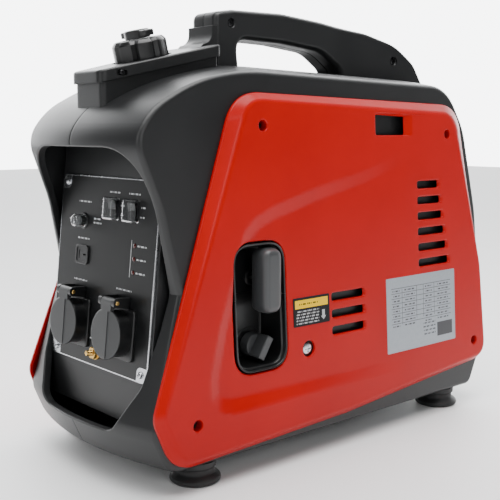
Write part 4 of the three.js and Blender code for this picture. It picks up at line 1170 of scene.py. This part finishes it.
def panel_holes():
    tools = [rod(22.9, *THROUGH, on_panel(x, SOCKET_UP), 56) for x in SOCKETS.values()]
    tools += [levels("hole", block(x, SWITCH_UP, 6.7, 8.7, 1), [(0, end) for end in THROUGH], PANEL)
              for x in SWITCHES.values()]
    tools += [rod(5.1, *THROUGH, on_panel(*BREAKER), 32),
              levels("hole", block(*DC, 10.4, 8.1, 2), [(0, -30), (0, THROUGH[1])], PANEL),
              rod(3.3, *THROUGH, on_panel(*EARTH), 24)]
    return tools + [rod(2.5, *THROUGH, on_panel(LAMP_X, up), 20) for up in LAMPS.values()]


sheet = levels("control_panel_sheet",
               evened(block(0, PANEL_MIDDLE, PANEL_HALF, PANEL_MIDDLE, PANEL_CORNER), 4),
               [(0, -2), (0, -0.5), (0.5, -0.05)], PANEL)
fit(carve(sheet, *panel_holes()), ROOT, "steel", "control_panel")


# %% [markdown]
# The print carries short pale bars where captions belong, and a thin line beside the lamps.
# The bars are sums on the surface's coordinates, as on the labels.

# %% Panel print
def print_recipe():
    recipe = Recipe("printed_panel")
    _, y, z = recipe.axes()
    across, up = y * -1.0, (z - PANEL_FOOT * MM) * (1 / cos(LEAN_BACK))
    ink = stripe(across, 47.2, 0.35) * between(up, 95, 130)
    for level in LAMPS.values():
        ink = ink + dashes(recipe, across, up, 57, 72, level, level)
    rows = [(-52, -29, 161, 0.3), (-22, -8, 141, 1.9), (-22, -10, 145, 0.8), (3, 22, 173, 2.2),
            (37, 56, 173, 0.9), (-50, -28, 124, 1.1), (-53, -27, 82, 0.4), (27, 53, 82, 2.6),
            (-14, 14, 27, 0.1), (24, 32, 161, 0.5), (24, 31, 152, 2.1), (58, 66, 161, 1.5),
            (58, 65, 152, 0.2)]
    for start, end, level, seed in rows:
        ink = ink + dashes(recipe, across, up, start, end, level, seed)
    fine = recipe.noise(800.0, 2.0)
    black = recipe.blend(fine, tint(0.0030, 0.0033, 0.0036), tint(0.0050, 0.0053, 0.0056))
    return recipe.surface({
        "Base Color": recipe.blend(ink.sum("MINIMUM", ink, 1.0), black, tint(0.55, 0.56, 0.57)),
        "Roughness": fine * 0.06 + 0.3, "Specular IOR Level": 0.3})


layer = levels("control_panel_print",
               evened(block(0, PANEL_MIDDLE, PANEL_HALF - PRINT_MARGIN, PANEL_MIDDLE - PRINT_MARGIN,
                            PANEL_CORNER - PRINT_MARGIN), 4),
               [(0, -0.04), (0, 0.1), (0.1, 0.16)], PANEL)
tabs = [levels("tab", block(x + (4 if x > 0 else -4), up + (4 if up > 90 else -4), 11, 11, 7.5),
               [(0, -3), (0, 3)], PANEL) for x, up in PANEL_SCREWS.values()]
fit(carve(layer, *tabs, *panel_holes()), ROOT, "satin_black_plastic", finish=print_recipe())
for number, (x, up) in PANEL_SCREWS.items():
    fit(screw_head(f"panel_screw_head_{number}", on_panel(x, up, 0.2), 3.4, 2.2), ROOT, "steel",
        f"panel_screw_{number}")

# %% [markdown]
# # Mains sockets
# A square flange with soft corners, a round collar with a deep well and two contact holes, and
# over it a lid on a brass pin between two ears. The lid's face is creased upright, and one side
# of it falls away, which is what catches the light.

# %% Sockets, lids and pins
PIN_UP, PIN_OUT = SOCKET_UP + 30.4, 14.8
EAR_HALF, TAB_HALF, LID_RADIUS = 13.6, 8.6, 24.2
PIN_PROFILE = [(0, -14), (1.5, -14), (2, -13.5), (2, 13.5), (1.5, 14), (0, 14)]


def mains_socket(name, x):
    body = turned(name, [(0, -32), (22.2, -32), (22.4, -31), (22.4, 14.2), (21.8, 15), (20.3, 15),
                         (19.7, 14.4), (19.6, -17), (0, -17)], on_panel(x, SOCKET_UP), 64)
    flange = levels("flange", evened(block(x, SOCKET_UP, 24.25, 24.25, 4.5), 3),
                    [(0, 0.2), (0, 1.6)] + lip(1.2, 3.0) + [(3.4, 3.0)], PANEL)
    foot = levels("foot", block(x, PIN_UP - 6, EAR_HALF, 8, 1.5),
                  [(0, 0.2), (0, 1.8)] + lip(1, 2.9), PANEL)
    flange = carve(carve(flange, foot, how="UNION"), rod(21, -9, 14, on_panel(x, SOCKET_UP), 64))
    outline = rounded([(65.5, 1, 0.4), (76.1, 1, 0.4), (76.0, 12, 3), (75.2, 19.2, 4.2),
                       (67, 19.2, 4.2)])
    contact = [(0, -27), (2.6, -27), (2.6, -16), (3.3, -15), (3.3, -9), (0, -9)]
    ears, contacts = [], []
    for hand in (-1, 1):
        ends = sorted((x + hand * (TAB_HALF + 0.3), x + hand * EAR_HALF))
        ears.append(carve(bar_x("ear", outline, *ends, PANEL), shaft_tool(x)))
        contacts.append(turned("contact", contact, on_panel(x + hand * 9.5, SOCKET_UP), 24))
    return joined(name, carve(body, *contacts), flange, *ears)


def shaft_tool(x):
    return bar_x("shaft", circle(PIN_UP, PIN_OUT, 2.15, 24), x - 30, x + 30, PANEL)


def lid_outline(radius, half, top):
    start = atan(half / sqrt(radius ** 2 - half ** 2))
    arc = [Vector((radius * cos(a), radius * sin(a)))
           for a in np.linspace(pi / 2 + start, 5 * pi / 2 - start, 61)]
    return arc + [Vector((half, top)), Vector((-half, top))]


def socket_lid(name, x):
    outline = lid_outline(LID_RADIUS, TAB_HALF, 28.6)
    steps = [(0.9, 15.4), (0.2, 15.7), (0, 16.2), (0, 17.0), (0.3, 17.9), (0.9, 18.5), (1.8, 18.8),
             (3.0, 18.8)]
    skin = levels(name, outline, steps, on_panel(x, SOCKET_UP), 30)
    falling = ((4, 18.25), (30, 16.2), (30, 30), (4, 30))
    slope = loft("slope", [[(x + u, up, out) for u, out in falling]
                           for up in (SOCKET_UP - 30, SOCKET_UP + 22)], PANEL)
    skin = carve(skin, slope)
    ends = x - TAB_HALF, x + TAB_HALF, PANEL
    barrel = bar_x("barrel", circle(PIN_UP, PIN_OUT, 4.4, 32), *ends)
    neck = bar_x("neck", rounded([(PIN_UP - 8, 15.5, 0), (PIN_UP, 12, 0),
                                  (PIN_UP + 1, 19.1, 0), (PIN_UP - 8, 18.7, 0)]), *ends)
    hinge = carve(barrel, neck, how="UNION")
    return carve(carve(skin, hinge, how="UNION"), shaft_tool(x))


for hand, x in SOCKETS.items():
    fit(mains_socket(f"mains_socket_{hand}_skin", x), ROOT, "satin_black_plastic",
        f"mains_socket_{hand}")
    fit(socket_lid(f"socket_lid_{hand}_skin", x), f"{hand}_lid_body", "satin_black_plastic",
        f"socket_lid_{hand}", finish=LID_BLACK)
    pin = turned(f"lid_pin_{hand}", PIN_PROFILE,
                 on_panel(x, PIN_UP, PIN_OUT) @ Matrix.Rotation(pi / 2, 4, "Y"), 28)
    fit(pin, ROOT, "brass", f"lid_hinge_pin_{hand}")

# %% [markdown]
# # Switches, breaker, lamps and earth
# The rockers and the breaker sit under clear soft boots, hollow like the real ones, so the
# light goes through them and the switch shows inside.

# %% Small fittings
BOOT_HALF, BOOT_HALF_HIGH, BOOT_WALL, BOOT_OUT = 9.2, 11.15, 1.0, 8.6
for use, x in SWITCHES.items():
    outer = levels(f"{use}_boot_skin", block(x, SWITCH_UP, BOOT_HALF, BOOT_HALF_HIGH, 3, 8),
                   [(0, 0.25), (0, 1.2), (0, 6)] + lip(2.2, BOOT_OUT, 5), PANEL)
    room = block(x, SWITCH_UP, BOOT_HALF - BOOT_WALL, BOOT_HALF_HIGH - BOOT_WALL, 2.2, 8)
    inner = levels("inner", room, [(0, -2), (0, 5)] + lip(1.6, BOOT_OUT - BOOT_WALL), PANEL)
    fit(carve(outer, inner), ROOT, "clear_boot", f"{use}_switch_boot")
    bezel = levels(f"{use}_switch_bezel", block(x, SWITCH_UP, 8.0, 9.9, 2),
                   [(0, 0.2), (0, 0.6), (0.4, 1.0)], PANEL)
    hole = levels("hole", block(x, SWITCH_UP, 6.7, 8.6, 1), [(0, -2), (0, 3)], PANEL)
    fit(carve(bezel, hole), ROOT, "satin_black_plastic")

at_breaker = on_panel(*BREAKER)
button = [(0, -9), (4.5, -9), (4.5, 4.9), (4.1, 5.7), (3.4, 6), (2.6, 6), (2.3, 5.7), (0, 5.6)]
fit(turned("breaker_button_skin", button, at_breaker, 36), "breaker_button_body", "grey_plastic",
    "breaker_button")
boot = turned("breaker_boot_skin", [
    (0, 0.25), (6.9, 0.25), (6.9, 1.6), (6.4, 2.2), (6.4, 10.5), (5.9, 12.2), (4.6, 13.3),
    (3.2, 13.6), (0, 13.6)], at_breaker, 40)
hollow = turned("hollow", [(0, -3), (5.5, -3), (5.4, 10.3), (4.9, 11.6), (3.6, 12.6), (0, 12.6)],
                at_breaker, 40)
fit(carve(boot, hollow), ROOT, "clear_boot", "breaker_boot")
nut = turned("breaker_nut", [(0, 0.2), (8.2, 0.2), (8.2, 0.9), (7.6, 1.5), (0, 1.5)],
             at_breaker, 40)
fit(carve(nut, rod(7.1, -3, 9, at_breaker, 40)), ROOT, "satin_black_plastic")


def dc_socket():
    x, up = DC
    face = levels("dc_socket_skin", block(x, up, 12, 9.7, 5, 8),
                  [(0, 0.2), (0, 1.2)] + lip(0.8, 2.0), PANEL)
    body = levels("body", block(x, up, 10, 7.7, 2), [(0, -18), (0, 1)], PANEL)
    whole = carve(face, body, how="UNION")
    rim = levels("rim", block(x, up, 9.2, 7.2, 3, 8), [(0, 1.35), (0, 5)], PANEL)
    upright = levels("slot", block(x - 4.5, up, 0.75, 4.5, 0.4, 2), [(0, -12), (0, 5)], PANEL)
    level = levels("slot", block(x + 5, up, 2.5, 0.8, 0.4, 2), [(0, -12), (0, 5)], PANEL)
    return carve(whole, rim, upright, level)


fit(dc_socket(), ROOT, "satin_black_plastic", "dc_socket")
lamp_lens = [(0, -5), (2.3, -5), (2.3, 0.2), (2.0, 0.7), (1.3, 0.95), (0, 1.0)]
for name, up in LAMPS.items():
    fit(turned(f"{name}_lens", lamp_lens, on_panel(LAMP_X, up), 28), ROOT, "lamp_lens", name)


def earth_terminal():
    place = on_panel(*EARTH)
    washer = turned("earth_terminal_skin", [(0, 0.2), (7, 0.2), (7, 1.3), (6.7, 1.7), (0, 1.8)],
                    place, 40)
    nut = levels("nut", [Vector((6.4 * cos(i * pi / 3), 6.4 * sin(i * pi / 3))) for i in range(6)],
                 [(0, 1.7), (0, 5.4), (0.5, 6.0)], place)
    thread = [(3 - 0.25 * (i % 2), -9 + i * 0.5) for i in range(40)]
    bolt = turned("bolt", [(0, -10), (3, -10), *thread, (2.4, 11.8), (0, 12)], place, 28)
    return joined("earth_terminal_skin", washer, nut, bolt)


fit(earth_terminal(), ROOT, "brass", "earth_terminal")

# %% [markdown]
# # Feet and outlet
# Each foot is a turned rubber puck with a waist. The outlet is a short plain pipe in the rear,
# open at its end.

# %% Feet and outlet
foot_steps = [(0, 0), (21.8, 0), (23.2, 0.7), (24.5, 2.2), (24.7, 3.2), (24.2, 5.2), (22.6, 6.9),
              (19.6, 8.7), (18.6, 10.2), (18.3, 12.4), (18.7, 14.2), (20.0, 15.4), (20.4, 16.4),
              (20.4, 21.2), (0, 21.2)]
FOOT_Y = 95.0
for end, x in (("front", -182.8), ("rear", 187.2)):
    for hand, side in SIDES:
        place = Matrix.Translation((x, hand * FOOT_Y, 0))
        foot = turned(f"foot_{end}_{side}_skin", foot_steps, place, 56, 28)
        fit(foot, ROOT, "rubber", f"foot_{end}_{side}_side")

outlet_place = Matrix.Translation((0, *OUTLET)) @ Matrix.Rotation(pi / 2, 4, "Y")
pipe = turned("exhaust_outlet_skin", [
    (0, 196.4), (12.6, 196.4), (13, 197), (13, 254.6), (12.6, 255.4), (11.6, 255.4),
    (11.2, 254.8), (11.2, 206), (0, 206)], outlet_place, 48)
fit(pipe, ROOT, "cast_iron", "exhaust_outlet")

# %% [markdown]
# # Solids that stay
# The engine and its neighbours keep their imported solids, seen only through slots and wells.
# They cannot be reshaped, so they get finishes only.

# %% Finishes for the rest
STAYS = {
    "charcoal_plastic": ["panel_bulkhead"],
    "satin_black_plastic": ["economy_switch_rocker", "engine_switch_rocker", "recoil_housing",
                            "air_filter_box", "fuel_tank"],
    "grey_plastic": ["recoil_pulley", "oil_filler_cap"],
    "steel": ["filler_neck", "spark_plug"],
    "cast_aluminium": ["base_tray", "engine_block", "finned_cylinder", "carburettor",
                       "inverter_module"],
    "cast_iron": ["crankshaft_and_flywheel", "muffler"],
    "copper_winding": ["alternator_stator"],
    "rope": ["starter_rope"],
}
cad = {thing.name: thing for thing in bpy.data.objects if thing.type == "MESH"}
for slot_name, names in STAYS.items():
    for name in names:
        cad[name].data.materials.clear()
        cad[name].data.materials.append(FINISH[slot_name])
print("finished:", sum(len(names) for names in STAYS.values()), "solids")


# %% [markdown]
# # Studio
# A pale floor, a pale room and three large soft lamps. Plastic shows its shape by what it
# reflects, so the lamps are big: one over the top for the hood and the handle, one low at the
# left for the panel side, one broad one in front of the red cover.

# %% Floor
def pale_floor():
    recipe = Recipe("pale_studio_floor")
    cloud = recipe.noise(3.0, 3.0)
    return recipe.surface({
        "Base Color": recipe.blend(cloud, tint(0.86, 0.86, 0.86), tint(0.90, 0.90, 0.90)),
        "Roughness": 0.6})


FLOOR_HALF = 6.0
bpy.ops.mesh.primitive_plane_add(size=2 * FLOOR_HALF)
floor = bpy.context.object
floor.name = "studio_floor"
floor.data.materials.append(pale_floor())
print("floor:", 2 * FLOOR_HALF, "m wide")

# %% [markdown]
# The room is bright behind the generator and dim at its flanks, as in a studio with a lit
# sweep: the edges of the dark mouldings then carry a thin line of light, and the broad faces
# stay deep. A sky of one even brightness would wash the red out.

# %% Room
BRIGHT_SIDE = (0.655, 0.755, 0.0)
DIM, BRIGHT = 0.10, 7.0


def pale_room():
    world = bpy.data.worlds.new("pale_room")
    bpy.context.scene.world = world
    world.use_nodes = True
    tree = world.node_tree
    place = tree.nodes.new("ShaderNodeTexCoord")
    facing = tree.nodes.new("ShaderNodeVectorMath")
    facing.operation = "DOT_PRODUCT"
    facing.inputs[1].default_value = BRIGHT_SIDE
    strength = tree.nodes.new("ShaderNodeMapRange")
    strength.interpolation_type = "SMOOTHSTEP"
    for key, value in (("From Min", 0.25), ("From Max", 0.8), ("To Min", DIM), ("To Max", BRIGHT)):
        strength.inputs[key].default_value = value
    tree.links.new(place.outputs["Generated"], facing.inputs[0])
    tree.links.new(facing.outputs["Value"], strength.inputs["Value"])
    tree.links.new(strength.outputs[0], tree.nodes["Background"].inputs["Strength"])
    tree.nodes["Background"].inputs["Color"].default_value = (0.98, 0.99, 1.0, 1)


pale_room()
print("room:", DIM, "at the flanks,", BRIGHT, "behind")

# %% Lamps
AIM = Vector((0, 0, 0.2))


def soft_lamp(name, place, size, power):
    light = bpy.data.lights.new(name, "AREA")
    light.shape, light.size, light.size_y, light.energy = "RECTANGLE", *size, power
    lamp = bpy.data.objects.new(name, light)
    bpy.context.scene.collection.objects.link(lamp)
    lamp.location = place
    lamp.rotation_euler = (AIM - Vector(place)).to_track_quat("-Z", "Y").to_euler()
    print(name, power, "W at", place)


soft_lamp("top_softbox", (-0.2, -0.3, 1.9), (1.6, 1.2), 56)
soft_lamp("cover_softbox", (-0.7, -2.1, 1.2), (1.0, 0.8), 12)
soft_lamp("panel_softbox", (-2.1, -0.3, 1.2), (0.8, 1.2), 12)

# %% Camera
EYE = Vector((-679.88, -746.95, 332.14)) * MM
TURN, DROP, LENS = radians(40.983), radians(7.754), 64.46
lens = bpy.data.cameras.new("camera")
lens.lens, lens.sensor_width = LENS, 36.0
camera = bpy.data.objects.new("camera", lens)
bpy.context.scene.collection.objects.link(camera)
looking = Vector((sin(TURN) * cos(DROP), cos(TURN) * cos(DROP), -sin(DROP)))
camera.location = EYE
camera.rotation_euler = looking.to_track_quat("-Z", "Y").to_euler()
bpy.context.scene.camera = camera
print("camera at", tuple(round(v, 3) for v in EYE))
